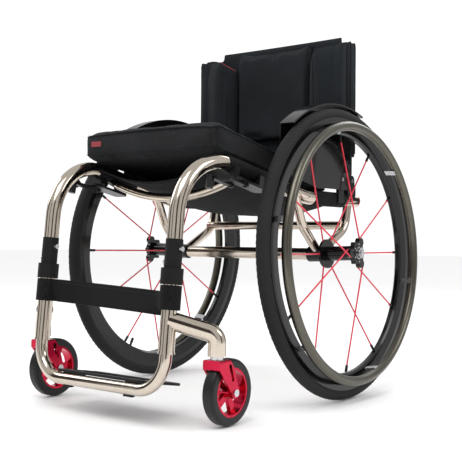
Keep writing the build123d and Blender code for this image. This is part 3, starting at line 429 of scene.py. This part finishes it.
def node_copy(node: str) -> bmesh.types.BMesh:
    """A merged copy of a CAD node's mesh."""
    work = bmesh.new()
    work.from_mesh(frame["nodes"][node].data)
    bmesh.ops.remove_doubles(work, verts=work.verts, dist=1e-6)
    return work


def islands(work: bmesh.types.BMesh) -> list[list[bmesh.types.BMVert]]:
    """The separate shells of a bmesh, in order of their middle's X."""
    left, found = set(work.verts), []
    while left:
        seed = left.pop()
        shell, edge = [seed], [seed]
        while edge:
            vert = edge.pop()
            for link in vert.link_edges:
                other = link.other_vert(vert)
                if other in left:
                    left.remove(other)
                    shell.append(other)
                    edge.append(other)
        found.append(shell)
    return sorted(found, key=lambda shell: sum(v.co.x for v in shell) / len(shell))


# ------------------------------------------------------------------ repeated pieces
class Unit(Enum):
    """The small shape that is repeated."""

    BLOCK = "block"
    STITCH = "stitch"
    SCREW = "screw"


@dataclass
class Spot:
    """One place of a repeated shape: its point, outward direction and lengthwise direction."""

    place: Vector
    aim: Vector
    along: Vector


class Repeater:
    """Geometry Nodes trees that set one small shape at many spots."""

    def __init__(self) -> None:
        """Starts with no tree built."""
        self._made: dict[Unit, bpy.types.NodeTree] = {}

    def _tree(self, unit: Unit) -> bpy.types.NodeTree:
        """The tree of a unit, with Size, Spread, Seed and Finish as inputs."""
        if unit in self._made:
            return self._made[unit]
        tree = bpy.data.node_groups.new(f"repeat_{unit.value}", "GeometryNodeTree")
        sockets = (("Geometry", "NodeSocketGeometry"), ("Size", "NodeSocketVector"),
                   ("Spread", "NodeSocketFloat"), ("Seed", "NodeSocketInt"), ("Finish", "NodeSocketMaterial"))
        for name, kind in sockets:
            tree.interface.new_socket(name, in_out="INPUT", socket_type=kind)
        tree.interface.new_socket("Geometry", in_out="OUTPUT", socket_type="NodeSocketGeometry")
        add, link = tree.nodes.new, tree.links.new
        inputs, outputs = add("NodeGroupInput"), add("NodeGroupOutput")
        if unit is Unit.BLOCK:
            shape = add("GeometryNodeMeshCube")
            shape.inputs["Size"].default_value = (1.0, 1.0, 1.0)
            source = shape.outputs["Mesh"]
        elif unit is Unit.STITCH:
            shape = add("GeometryNodeMeshUVSphere")
            shape.inputs["Segments"].default_value, shape.inputs["Rings"].default_value = 6, 4
            shape.inputs["Radius"].default_value = 0.5
            source = shape.outputs["Mesh"]
        else:
            shape = add("GeometryNodeMeshCylinder")
            shape.inputs["Vertices"].default_value = 16
            shape.inputs["Radius"].default_value, shape.inputs["Depth"].default_value = 0.5, 1.0
            source = shape.outputs["Mesh"]
        aim, along = add("GeometryNodeInputNamedAttribute"), add("GeometryNodeInputNamedAttribute")
        for node, name in ((aim, "aim"), (along, "along")):
            node.data_type = "FLOAT_VECTOR"
            node.inputs["Name"].default_value = name
        upright = add("FunctionNodeAlignRotationToVector")
        upright.axis = "Z"
        link(aim.outputs["Attribute"], upright.inputs["Vector"])
        turned = add("FunctionNodeAlignRotationToVector")
        turned.axis, turned.pivot_axis = "X", "Z"
        link(upright.outputs[0], turned.inputs["Rotation"])
        link(along.outputs["Attribute"], turned.inputs["Vector"])
        spread = add("FunctionNodeRandomValue")
        spread.data_type = "FLOAT"
        low, high = add("ShaderNodeMath"), add("ShaderNodeMath")
        low.operation, high.operation = "SUBTRACT", "ADD"
        for node in (low, high):
            node.inputs[0].default_value = 1.0
            link(inputs.outputs["Spread"], node.inputs[1])
        link(low.outputs[0], spread.inputs[2])
        link(high.outputs[0], spread.inputs[3])
        link(inputs.outputs["Seed"], spread.inputs["Seed"])
        scale = add("ShaderNodeVectorMath")
        scale.operation = "SCALE"
        link(inputs.outputs["Size"], scale.inputs[0])
        link(spread.outputs[1], scale.inputs["Scale"])
        instance = add("GeometryNodeInstanceOnPoints")
        link(inputs.outputs["Geometry"], instance.inputs["Points"])
        link(source, instance.inputs["Instance"])
        link(turned.outputs[0], instance.inputs["Rotation"])
        link(scale.outputs[0], instance.inputs["Scale"])
        real, paint = add("GeometryNodeRealizeInstances"), add("GeometryNodeSetMaterial")
        link(instance.outputs[0], real.inputs[0])
        link(real.outputs[0], paint.inputs["Geometry"])
        link(inputs.outputs["Finish"], paint.inputs["Material"])
        link(paint.outputs[0], outputs.inputs[0])
        self._made[unit] = tree
        return tree

    def make(self, name: str, unit: Unit, spots: list[Spot], size: tuple[float, float, float], finish: Finish,
             body: str, spread: float = 0.0, seed: int = 7) -> bpy.types.Object:
        """Sets a unit at every spot and makes the result one plain piece.

        Args:
            name: the piece's name.
            unit: the repeated shape.
            spots: where it goes.
            size: its size along, across and out.
            finish: its finish.
            body: the CAD body that it moves with.
            spread: random share by which the size varies.
            seed: seed of that variation.

        Returns:
            The piece.
        """
        carrier_mesh = bpy.data.meshes.new(name + "_spots")
        carrier_mesh.from_pydata([spot.place for spot in spots], [], [])
        for key, values in (("aim", [s.aim for s in spots]), ("along", [s.along for s in spots])):
            data = carrier_mesh.attributes.new(key, "FLOAT_VECTOR", "POINT")
            data.data.foreach_set("vector", [c for value in values for c in value])
        carrier = bpy.data.objects.new(name + "_carrier", carrier_mesh)
        bpy.context.scene.collection.objects.link(carrier)
        tree = self._tree(unit)
        modifier = carrier.modifiers.new("repeat", "NODES")
        modifier.node_group = tree
        wished = {"Size": size, "Spread": spread, "Seed": seed, "Finish": PAINT.material(finish)}
        for item in tree.interface.items_tree:
            if item.in_out == "INPUT" and item.name in wished:
                modifier[item.identifier] = wished[item.name]
        graph = bpy.context.evaluated_depsgraph_get()
        mesh = bpy.data.meshes.new_from_object(carrier.evaluated_get(graph), depsgraph=graph)
        carrier.modifiers.clear()
        bpy.data.objects.remove(carrier)
        for attribute in ("aim", "along"):
            if attribute in mesh.attributes:
                mesh.attributes.remove(mesh.attributes[attribute])
        mesh.name = name
        return new_piece(name, mesh, finish, body)


REPEAT = Repeater()


# ------------------------------------------------------------------ soft goods
@dataclass
class Padding:
    """How a padded piece is shrunk, blown up and capped, in metres."""

    shrink: float = 0.004
    voxel: float = 0.005
    pressure: float = 4.0
    cap: float = 0.007
    frames: int = 20

    def swell(self, name: str, mesh: bpy.types.Mesh) -> bpy.types.Mesh:
        """Remeshes a closed shape, swells it as cloth and smooths it once.

        Args:
            name: the name of the new mesh.
            mesh: the closed start shape.

        Returns:
            The swollen mesh.
        """
        piece = bpy.data.objects.new(name + "_work", mesh)
        bpy.context.scene.collection.objects.link(piece)
        remesh = piece.modifiers.new("remesh", "REMESH")
        remesh.mode, remesh.voxel_size = "VOXEL", self.voxel
        self._apply(piece)
        normals = [v.normal.copy() for v in piece.data.vertices]
        for vert, normal in zip(piece.data.vertices, normals):
            vert.co -= normal * self.shrink
        start = [v.co.copy() for v in piece.data.vertices]
        cloth = piece.modifiers.new("cloth", "CLOTH")
        cloth.settings.use_pressure = True
        cloth.settings.uniform_pressure_force = self.pressure
        cloth.settings.effector_weights.gravity = 0.0
        cloth.settings.tension_stiffness = 25.0
        cloth.settings.compression_stiffness = 25.0
        cloth.point_cache.frame_start, cloth.point_cache.frame_end = 1, self.frames
        for number in range(1, self.frames + 1):
            bpy.context.scene.frame_set(number)
        graph = bpy.context.evaluated_depsgraph_get()
        moved = [v.co.copy() for v in piece.evaluated_get(graph).data.vertices]
        piece.modifiers.clear()
        bpy.context.scene.frame_set(1)
        for vert, before, after in zip(piece.data.vertices, start, moved):
            step = after - before
            vert.co = before + step * min(1.0, self.cap / max(step.length, 1e-9))
        smooth = piece.modifiers.new("smooth", "SMOOTH")
        smooth.factor, smooth.iterations = 0.5, 2
        fine = piece.modifiers.new("fine", "SUBSURF")
        fine.levels = fine.render_levels = 1
        self._apply(piece)
        result = piece.data
        for face in result.polygons:
            face.use_smooth = True
        bpy.data.objects.remove(piece)
        result.name = name
        return result

    @staticmethod
    def _apply(piece: bpy.types.Object) -> None:
        """Bakes a work piece's modifiers into its mesh."""
        graph = bpy.context.evaluated_depsgraph_get()
        piece.data = bpy.data.meshes.new_from_object(piece.evaluated_get(graph), depsgraph=graph)
        piece.modifiers.clear()


def on_surface(mesh: bpy.types.Mesh, guide: list[Vector], lift: float) -> list[Spot]:
    """Drops guide points onto a mesh.

    Args:
        mesh: the mesh.
        guide: points near it.
        lift: height above the surface.

    Returns:
        One spot for each point, with along following the line.
    """
    tree = BVHTree.FromPolygons([v.co for v in mesh.vertices], [tuple(f.vertices) for f in mesh.polygons])
    found = []
    for point in guide:
        place, normal, _, _ = tree.find_nearest(point)
        found.append(Spot(place + normal * lift, normal, Vector((1.0, 0.0, 0.0))))
    for place, spot in enumerate(found):
        ahead = found[min(place + 1, len(found) - 1)].place - found[max(place - 1, 0)].place
        if ahead.length > 1e-9:
            spot.along = ahead.normalized()
    return found


def run_points(corners: list[Vector], step: float) -> list[Vector]:
    """Evenly spaced points along straight runs."""
    points = []
    for first, last in zip(corners, corners[1:]):
        count = max(1, round((last - first).length / step))
        points += [first.lerp(last, k / count) for k in range(count)]
    return points + [corners[-1]]


def sew(name: str, mesh: bpy.types.Mesh, corners: list[Vector], body: str,
        piping: Finish | None = None, radius: float = 0.0016) -> None:
    """Adds a piped seam along a line on a mesh, with a row of stitches beside it.

    Args:
        name: start of the pieces' names.
        mesh: the mesh sewn.
        corners: the seam's rough corners.
        body: the CAD body that it moves with.
        piping: finish of the piping; without one the seam has stitches only.
        radius: the piping's radius.
    """
    if piping is not None:
        line = on_surface(mesh, run_points(corners, 0.006), radius * 0.4)
        work = bmesh.new()
        tube_along(work, [spot.place for spot in line], radius)
        settle_normals(work)
        new_piece(name + "_piping", to_mesh(work, name + "_piping"), piping, body)
    stitches = on_surface(mesh, run_points(corners, 0.0045), 0.0003)
    for spot in stitches:
        spot.place += spot.aim.cross(spot.along).normalized() * (radius * 2.4 if piping else 0.0)
    REPEAT.make(name + "_stitches", Unit.STITCH, stitches, (0.0032, 0.0009, 0.0008), THREAD, body)


@dataclass
class Seat:
    """The cushion, the sling under it and the sleeves on the rails."""

    padding: Padding = field(default_factory=lambda: Padding(shrink=0.005, voxel=0.006, cap=0.009))
    tab: tuple[float, float] = (0.026, 0.011)
    corner: float = 0.034
    crown: float = 0.005
    thickness: float = 0.052
    sloped: float = 0.295
    seam_end: float = 0.03

    def build(self) -> None:
        """Makes the seat's pieces."""
        self._cushion()
        self._sling()
        piece = new_piece("rail_sleeves_cloth", self._wrinkled("rail_sleeves"), WEBBING, "frame")
        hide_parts("rail_sleeves")

    def _sling(self) -> None:
        """The sling between the rails: one sagging sheet, taken from its own solid's section."""
        low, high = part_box("seat_sling")
        source = node_copy("seat_sling")
        tree = BVHTree.FromBMesh(source)
        rows, columns, thick = 44, 40, 0.0026
        work, grid = bmesh.new(), []
        for r in range(rows + 1):
            y = low.y + 0.001 + (high.y - low.y - 0.002) * r / rows
            hits = [x for x in (high.x * k / 200.0 for k in range(201))
                    if tree.ray_cast(Vector((x, y, low.z - 0.1)), Vector((0.0, 0.0, 1.0)))[0] is not None]
            half = hits[-1] if hits else high.x
            line = []
            for c in range(columns + 1):
                x = half * (2.0 * c / columns - 1.0) * 0.999
                hit = tree.ray_cast(Vector((x, y, low.z - 0.1)), Vector((0.0, 0.0, 1.0)))[0]
                ripple = 0.0007 * math.sin(c * 0.9) * math.sin(r * 0.55 + c * 0.2)
                line.append(work.verts.new((x, y, (hit.z if hit else line[-1].co.z) + 0.0002 + abs(ripple))))
            grid.append(line)
        for first, second in zip(grid, grid[1:]):
            for c in range(columns):
                work.faces.new((first[c], first[c + 1], second[c + 1], second[c]))
        source.free()
        bmesh.ops.recalc_face_normals(work, faces=work.faces)
        if work.faces[:][0].normal.z < 0.0:
            bmesh.ops.reverse_faces(work, faces=work.faces)
        area = sum(face.calc_area() for face in work.faces)
        sling = new_piece("seat_sling_cloth", to_mesh(work, "seat_sling_cloth"), WEBBING, "frame")
        thickness = sling.modifiers.new("cloth_thickness", "SOLIDIFY")
        thickness.thickness, thickness.offset = thick, 1.0
        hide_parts("seat_sling")

    @staticmethod
    def _wrinkled(node: str) -> bpy.types.Mesh:
        """A sleeve with shallow wrap wrinkles along the rail."""
        work = node_copy(node)
        bmesh.ops.subdivide_edges(work, edges=[e for e in work.edges if e.calc_length() > 0.004], cuts=2,
                                  use_grid_fill=True)
        work.normal_update()
        for vert in work.verts:
            vert.co += vert.normal * 0.0003 * math.sin(vert.co.y * 700.0 + vert.co.z * 350.0)
        return to_mesh(work, node)

    def _cushion(self) -> None:
        """The crowned cushion with its piped seams and its small plain tab."""
        low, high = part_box("seat_cushion")
        mesh = self.padding.swell("seat_cushion_pad", to_mesh(node_copy("seat_cushion"), "cushion"))
        self._soften(mesh, high.x, low.y)
        cushion = new_piece("seat_cushion_pad", mesh, SPACER, "frame")
        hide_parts("seat_cushion")
        front_top, front_low = high.z, high.z - self.thickness
        half, front = high.x, low.y
        for label, z in (("top", front_top), ("bottom", front_low)):
            back_y = high.y - self.seam_end
            back_z = z - self._fall(back_y)
            corners = [Vector((-half, back_y, back_z)),
                       Vector((-half, front + 0.012, z)), Vector((-half + 0.012, front, z)),
                       Vector((half - 0.012, front, z)), Vector((half, front + 0.012, z)),
                       Vector((half, back_y, back_z))]
            sew(f"cushion_{label}", mesh, corners, "frame", piping=KNIT)
        for side in SIDES.values():
            x = side * (half - 0.006)
            sew(f"cushion_corner_{'left' if side > 0 else 'right'}", mesh,
                [Vector((x, front, front_low + 0.004)), Vector((x, front, front_top - 0.004))], "frame")
        work = bmesh.new()
        spots = on_surface(mesh, [Vector((-half + 0.05, front, (front_top + front_low) / 2))], 0.0)
        centre = spots[0]
        place = aimed(centre.place, centre.aim, Vector((1.0, 0.0, 0.0)))
        bmesh.ops.create_cube(work, size=1.0, matrix=place @ Matrix.Diagonal((*self.tab, 0.0016, 1.0)))
        bmesh.ops.bevel(work, geom=work.edges[:], offset=0.0005, segments=2, affect="EDGES")
        settle_normals(work)
        new_piece("cushion_tab", to_mesh(work, "cushion_tab", False), PIPING, "frame")

    def _soften(self, mesh: bpy.types.Mesh, half: float, front: float) -> None:
        """Rounds the cushion's front corners in plan and crowns its top.

        Args:
            mesh: the cushion.
            half: half its width.
            front: Y of its front.
        """
        r = self.corner
        for vert in mesh.vertices:
            x, y = abs(vert.co.x) - (half - r), (front + r) - vert.co.y
            if x > 0.0 and y > 0.0:
                k = max(x, y) / math.hypot(x, y)
                vert.co.x = math.copysign(half - r + x * k, vert.co.x)
                vert.co.y = front + r - y * k
            if vert.normal.z > 0.5:
                vert.co.z += self.crown * max(0.0, 1.0 - (vert.co.x / half) ** 2)

    def _fall(self, y: float) -> float:
        """How far the cushion's edges lie below its front at a place along the chair."""
        low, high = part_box("seat_cushion")
        slope = (high.z - low.z - self.thickness) / self.sloped
        return (min(y, low.y + self.sloped) - low.y) * slope


@dataclass
class Backrest:
    """Centre pad, side bolsters and cover."""

    padding: Padding = field(default_factory=lambda: Padding(shrink=0.004, voxel=0.005, cap=0.009))
    wing_top: float = 0.755
    notch_outer: float = 0.134
    notch_inner: float = 0.101
    notch_drop: float = 0.026
    seam_inset: float = 0.01
    band_drop: float = 0.04
    channel_half: float = 0.09
    channel_front: float = 0.03

    def _slant(self, work: bmesh.types.BMesh) -> None:
        """Lowers the top of a bolster beside the centre pad."""
        top = max(v.co.z for v in work.verts)
        for vert in work.verts:
            share = (self.notch_outer - abs(vert.co.x)) / (self.notch_outer - self.notch_inner)
            if vert.co.z > top - 0.001 and share > 0.0:
                vert.co.z -= self.notch_drop * min(1.0, share)

    def build(self) -> None:
        """Makes the backrest's pieces."""
        shells = node_copy("back_pads")
        parts = islands(shells)
        names = ("bolster_right", "back_centre", "bolster_left")
        meshes = {}
        for name, shell in zip(names, parts):
            keep = {v.index for v in shell}
            shells.verts.index_update()
            single = shells.copy()
            single.verts.ensure_lookup_table()
            bmesh.ops.delete(single, geom=[v for v in single.verts if v.index not in keep], context="VERTS")
            if name != "back_centre":
                self._slant(single)
            meshes[name] = self.padding.swell(name, to_mesh(single, name))
        shells.free()
        for name, mesh in meshes.items():
            piece = new_piece(name + "_pad", mesh, KNIT, "backrest")
            if name == "back_centre":
                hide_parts("back_pads")
        self._seams(meshes)
        cover = Padding(shrink=0.0006, voxel=0.005, cap=0.002, frames=6).swell(
            "back_cover", to_mesh(node_copy("back_sling"), "cover"))
        piece = new_piece("back_cover", cover, KNIT, "backrest")
        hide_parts("back_sling")
        low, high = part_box("back_sling")
        for side, sign in SIDES.items():
            x = sign * high.x
            for label, y in (("front", low.y + 0.008), ("rear", high.y - 0.008)):
                edge = [Vector((x, y, low.z + self.seam_inset)), Vector((x, y, high.z - self.seam_inset))]
                sew(f"cover_{label}_{side}", cover, edge, "backrest", piping=KNIT)
            band_z = high.z - self.band_drop
            band = [Vector((x, y, band_z)) for y in (low.y + self.seam_inset, high.y - self.seam_inset)]
            sew(f"cover_band_{side}", cover, band, "backrest")

    def _seams(self, meshes: dict[str, bpy.types.Mesh]) -> None:
        """Piping along the pads' front edges, dark red on the notch of the right bolster."""
        low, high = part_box("back_pads")
        for side, sign in SIDES.items():
            mesh = meshes[f"bolster_{side}"]
            ridge = Vector((sign * 0.130, low.y + 0.012, 0.0))
            lines = {"ridge": (ridge, KNIT), "wing": (Vector((sign * 0.198, low.y + 0.006, 0.0)), KNIT)}
            for label, (base, finish) in lines.items():
                sew(f"bolster_{label}_{side}", mesh,
                    [base + Vector((0, 0, low.z + 0.012)), base + Vector((0, 0, self.wing_top - 0.014))],
                    "backrest", piping=finish, radius=0.001)
        notch = [Vector((-self.notch_outer, low.y + 0.006, self.wing_top - 0.003)),
                 Vector((-self.notch_inner, low.y + 0.03, self.wing_top - 0.003 - self.notch_drop))]
        sew("bolster_notch", meshes["bolster_right"], notch, "backrest", piping=PIPING,
            radius=0.0011)
        for fraction in (0.33, 0.66):
            z = low.z + (high.z - low.z) * fraction
            sew(f"centre_channel_{int(fraction * 100)}", meshes["back_centre"],
                [Vector((-self.channel_half, low.y + self.channel_front, z)),
                 Vector((self.channel_half, low.y + self.channel_front, z))], "backrest")


@dataclass
class CalfStrap:
    """The band behind the calves, with a loop round each leg."""

    bow: float = 0.006
    thickness: float = 0.0034
    wraps: float = 0.0042

    def build(self) -> None:
        """Makes the band and its loops as one piece, with two rows of stitches."""
        work = node_copy("calf_strap")
        low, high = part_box("calf_strap")
        long_edges = [e for e in work.edges if e.calc_length() > 0.02]
        bmesh.ops.subdivide_edges(work, edges=long_edges, cuts=12, use_grid_fill=True)
        half = high.x
        for vert in work.verts:
            if abs(vert.co.x) < half * 0.8:
                share = 1.0 - (vert.co.x / (half * 0.8)) ** 2
                vert.co.y += self.bow * share
        bmesh.ops.triangulate(work, faces=work.faces[:])
        mesh = to_mesh(work, "calf_strap_webbing")
        piece = new_piece("calf_strap_webbing", mesh, WEBBING, "frame")
        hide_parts("calf_strap")
        far, near = -half * 0.72, half * 0.72
        for label, share in (("top", 0.86), ("bottom", 0.14)):
            z_far = low.z + (high.z - low.z) * share
            sew(f"strap_{label}", mesh, [Vector((far, low.y, z_far)), Vector((near, low.y, z_far - 0.012))],
                "frame")


# ------------------------------------------------------------------ wheels
@dataclass
class RearWheel:
    """Tread, valve and hub details of one rear wheel, in metres and degrees."""

    side: str
    sign: int
    camber: float = math.radians(2.2)
    track_half: float = 0.2454
    tyre_radius: float = 0.296
    section: float = 0.0125
    rim_inner: float = 0.243
    rows: tuple[float, ...] = (-58.0, -36.0, -14.0, 14.0, 36.0, 58.0)
    per_row: int = 150

    def __post_init__(self) -> None:
        """Works out the wheel's own axes from its CAD joint."""
        joint = next(j for j in frame["joints"] if j["name"] == f"rear_wheel_spin_{self.side}")
        self.centre = Vector(joint["pos_m"])
        self.out = Vector(joint["axis"]).normalized()
        self.body = f"rear_wheel_{self.side}"
        self.x = Vector((0.0, 1.0, 0.0))
        self.y = self.out.cross(self.x) * self.sign

    def at(self, radius: float, angle: float, along: float) -> Vector:
        """A point by its radius, angle from the rear in radians and place along the axle."""
        return self.centre + (self.x * math.cos(angle) + self.y * math.sin(angle)) * radius + self.out * along

    def build(self) -> None:
        """Makes the wheel's added pieces."""
        self._tread()
        self._valve()
        self._hub_bolts()

    def _tread(self) -> None:
        """Small raised blocks in slanted rows on the tyre's crown and shoulders."""
        spots = []
        middle = self.tyre_radius - self.section
        for row, tilt in enumerate(self.rows):
            lean = math.radians(tilt)
            for number in range(self.per_row):
                angle = FULL_TURN * (number + 0.5 * (row % 2)) / self.per_row
                radial = self.x * math.cos(angle) + self.y * math.sin(angle)
                round_way = self.y * math.cos(angle) - self.x * math.sin(angle)
                aim = radial * math.cos(lean) + self.out * math.sin(lean)
                across = round_way.cross(aim)
                place = self.centre + radial * middle + aim * (self.section - 0.0002)
                slant = math.radians(38.0 if tilt > 0 else -38.0)
                spots.append(Spot(place, aim, round_way * math.cos(slant) + across * math.sin(slant)))
        REPEAT.make(f"tread_{self.side}", Unit.BLOCK, spots, (0.0075, 0.0024, 0.0009), TYRE, self.body,
                    spread=0.06, seed=11)

    def _valve(self) -> None:
        """Valve stem and cap pointing to the hub."""
        work = bmesh.new()
        angle = math.radians(245.0)
        outer, inner = self.at(self.rim_inner + 0.002, angle, 0.0), self.at(self.rim_inner - 0.03, angle, 0.0)
        place = aimed(outer, inner - outer)
        profile = [(0.0, 0.0), (0.0026, 0.0), (0.0026, 0.009), (0.0033, 0.0095), (0.0033, 0.018),
                   (0.0022, 0.0205), (0.0, 0.0205)]
        lathe(work, profile, place, 16)
        settle_normals(work)
        new_piece(f"valve_{self.side}", to_mesh(work, f"valve_{self.side}"), MOULDED, self.body)

    def _hub_bolts(self) -> None:
        """Small silver bolts round one hub flange."""
        spots = []
        for number in range(6):
            angle = FULL_TURN * (number + 0.5) / 6
            spots.append(Spot(self.at(0.0175, angle, 0.0375), self.out, self.x))
        REPEAT.make(f"hub_bolts_{self.side}", Unit.SCREW, spots, (0.0036, 0.0036, 0.002), STEEL, self.body)


# ------------------------------------------------------------------ frame details
@dataclass
class FrameDetails:
    """End plugs, screws and brake grips."""

    rail_radius: float = 0.0143

    def build(self) -> None:
        """Makes the frame's added pieces."""
        self._rail_plugs()
        self._grips()
        self._seat_screws()

    def _rail_plugs(self) -> None:
        """A red plug in the rear end of each seat rail."""
        _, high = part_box("side_frames")
        work = bmesh.new()
        for sign in SIDES.values():
            place = aimed(Vector((sign * (high.x - self.rail_radius), high.y - 0.004, 0.4095)),
                          Vector((0.0, 1.0, 0.0)))
            lathe(work, [(0.0, 0.0), (0.0126, 0.0), (0.0126, 0.004), (0.0143, 0.0042), (0.0143, 0.007),
                         (0.012, 0.0092), (0.0, 0.0098)], place, 40)
        settle_normals(work)
        new_piece("rail_plugs", to_mesh(work, "rail_plugs"), RED_ANODISED, "frame")

    def _grips(self) -> None:
        """A rounded rubber grip on the front end of each brake lever."""
        for side in SIDES:
            low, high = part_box(f"brake_lever_{side}")
            middle_x = (low.x + high.x) / 2
            start = Vector((middle_x, low.y + 0.032, high.z - 0.0095))
            tip = Vector((middle_x, low.y - 0.001, high.z - 0.0025))
            work = bmesh.new()
            length = (tip - start).length
            place = aimed(start, tip - start)
            lathe(work, [(0.0, 0.0), (0.0072, 0.0), (0.0088, 0.003), (0.0092, length * 0.6),
                         (0.0086, length - 0.003), (0.004, length), (0.0, length)], place, 24)
            settle_normals(work)
            new_piece(f"brake_grip_{side}", to_mesh(work, f"brake_grip_{side}"), GRIP_RUBBER,
                      f"brake_lever_{side}")

    def _seat_screws(self) -> None:
        """Button-head screws that hold the guards' brackets."""
        low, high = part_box("guard_standoffs")
        spots = []
        for sign in SIDES.values():
            for y in (low.y + 0.011, high.y - 0.011):
                spots.append(Spot(Vector((sign * (high.x + 0.0028), y, high.z - 0.012)),
                                  Vector((float(sign), 0.0, 0.0)), Vector((0.0, 1.0, 0.0))))
        REPEAT.make("guard_screws", Unit.SCREW, spots, (0.008, 0.008, 0.003), STEEL, "frame")


# ------------------------------------------------------------------ studio
@dataclass
class Studio:
    """Camera, floor and lights, in metres."""

    azimuth: float = math.radians(37.38)
    pitch: float = math.radians(0.37)
    roll: float = math.radians(0.51)
    camera_place: tuple[float, float, float] = (1.1436, -1.5536, 0.3281)
    lens: float = 67.66
    sensor: float = 36.0
    surround: tuple[float, float] = (1.08, 0.72)
    cards: tuple[tuple[float, float, float], ...] = ((1.9, -2.2, 0.9), (-2.4, -1.9, 1.2), (2.7, 0.2, 0.7),
                                                     (-0.4, -3.0, 0.5))

    def build(self) -> None:
        """Makes the camera, floor, backdrop and lights."""
        self._camera()
        self._floor()
        self._lights()
        self._cards()

    def _camera(self) -> None:
        """The camera, turned by its azimuth, pitch and roll."""
        a, e = self.azimuth, self.pitch
        ahead = Vector((-math.sin(a) * math.cos(e), math.cos(a) * math.cos(e), math.sin(e)))
        right = Vector((math.cos(a), math.sin(a), 0.0))
        up = right.cross(ahead)
        turned = right * math.cos(self.roll) + up * math.sin(self.roll)
        raised = up * math.cos(self.roll) - right * math.sin(self.roll)
        data = bpy.data.cameras.new("camera")
        data.lens, data.sensor_width = self.lens, self.sensor
        camera = bpy.data.objects.new("camera", data)
        wheel = next(j for j in frame["joints"] if j["name"] == "rear_wheel_spin_left")
        place = Vector(self.camera_place) + Vector((0.0, wheel["pos_m"][1], 0.0))
        turn = Matrix((turned, raised, -ahead)).transposed().to_4x4()
        camera.matrix_world = Matrix.Translation(place) @ turn
        bpy.context.scene.collection.objects.link(camera)
        bpy.context.scene.camera = camera

    def _floor(self) -> None:
        """A wide pale floor."""
        work = bmesh.new()
        bmesh.ops.create_grid(work, x_segments=2, y_segments=2, size=14.0,
                              matrix=Matrix.Translation((0.0, 0.0, -0.0012)))
        floor = bpy.data.objects.new("floor", to_mesh(work, "floor"))
        bpy.context.scene.collection.objects.link(floor)
        PAINT.dress(floor, FLOOR)

    def _lights(self) -> None:
        """Soft boxes above and beside the chair, and a pale surround."""
        world = bpy.data.worlds.new("surround")
        bpy.context.scene.world = world
        world.use_nodes = True
        bpy.context.scene.view_settings.view_transform = "Standard"
        tree = world.node_tree
        background = tree.nodes["Background"]
        background.inputs["Color"].default_value = (1.0, 1.0, 1.0, 1.0)
        seen = tree.nodes.new("ShaderNodeLightPath")
        strength = tree.nodes.new("ShaderNodeMapRange")
        strength.inputs["To Min"].default_value, strength.inputs["To Max"].default_value = self.surround
        tree.links.new(seen.outputs["Is Glossy Ray"], strength.inputs["Value"])
        tree.links.new(strength.outputs[0], background.inputs["Strength"])
        boxes = (((0.6, -1.6, 2.6), 34.0, 1.6), ((-2.2, -0.6, 1.7), 16.0, 1.2), ((2.4, 0.8, 1.8), 16.0, 1.1),
                 ((0.0, 2.4, 2.2), 16.0, 1.4))
        for number, (place, power, size) in enumerate(boxes):
            data = bpy.data.lights.new(f"soft_box_{number}", "AREA")
            data.energy, data.size = power, size
            lamp = bpy.data.objects.new(f"soft_box_{number}", data)
            target = Vector((0.0, 0.0, 0.4))
            lamp.matrix_world = aimed(Vector(place), Vector(place) - target)
            bpy.context.scene.collection.objects.link(lamp)

    def _cards(self) -> None:
        """Dark upright cards that only reflections see, for contrast on the polished tubes."""
        for number, (x, y, wide) in enumerate(self.cards):
            work = bmesh.new()
            toward = Vector((-x, -y, 0.0))
            place = aimed(Vector((x, y, 0.9)), toward, Vector((0.0, 0.0, 1.0)))
            bmesh.ops.create_grid(work, x_segments=1, y_segments=1, size=0.5,
                                  matrix=place @ Matrix.Diagonal((2.4, wide, 1.0, 1.0)))
            card = bpy.data.objects.new(f"card_{number}", to_mesh(work, f"card_{number}", False))
            bpy.context.scene.collection.objects.link(card)
            PAINT.dress(card, CARD)
            card.visible_camera = card.visible_diffuse = card.visible_shadow = False


def dress_frame() -> None:
    """Gives every CAD node its finish."""
    for name, node in frame["nodes"].items():
        stem = name.removesuffix("_left").removesuffix("_right")
        if name in CAD_FINISHES or stem in CAD_FINISHES:
            PAINT.dress(node, CAD_FINISHES.get(name, CAD_FINISHES.get(stem)))


def main() -> None:
    """Builds every sub-assembly in order."""
    Studio().build()
    dress_frame()
    for side, sign in SIDES.items():
        RearWheel(side, sign).build()
    FrameDetails().build()
    Seat().build()
    Backrest().build()
    CalfStrap().build()


if __name__ == "__main__":
    main()
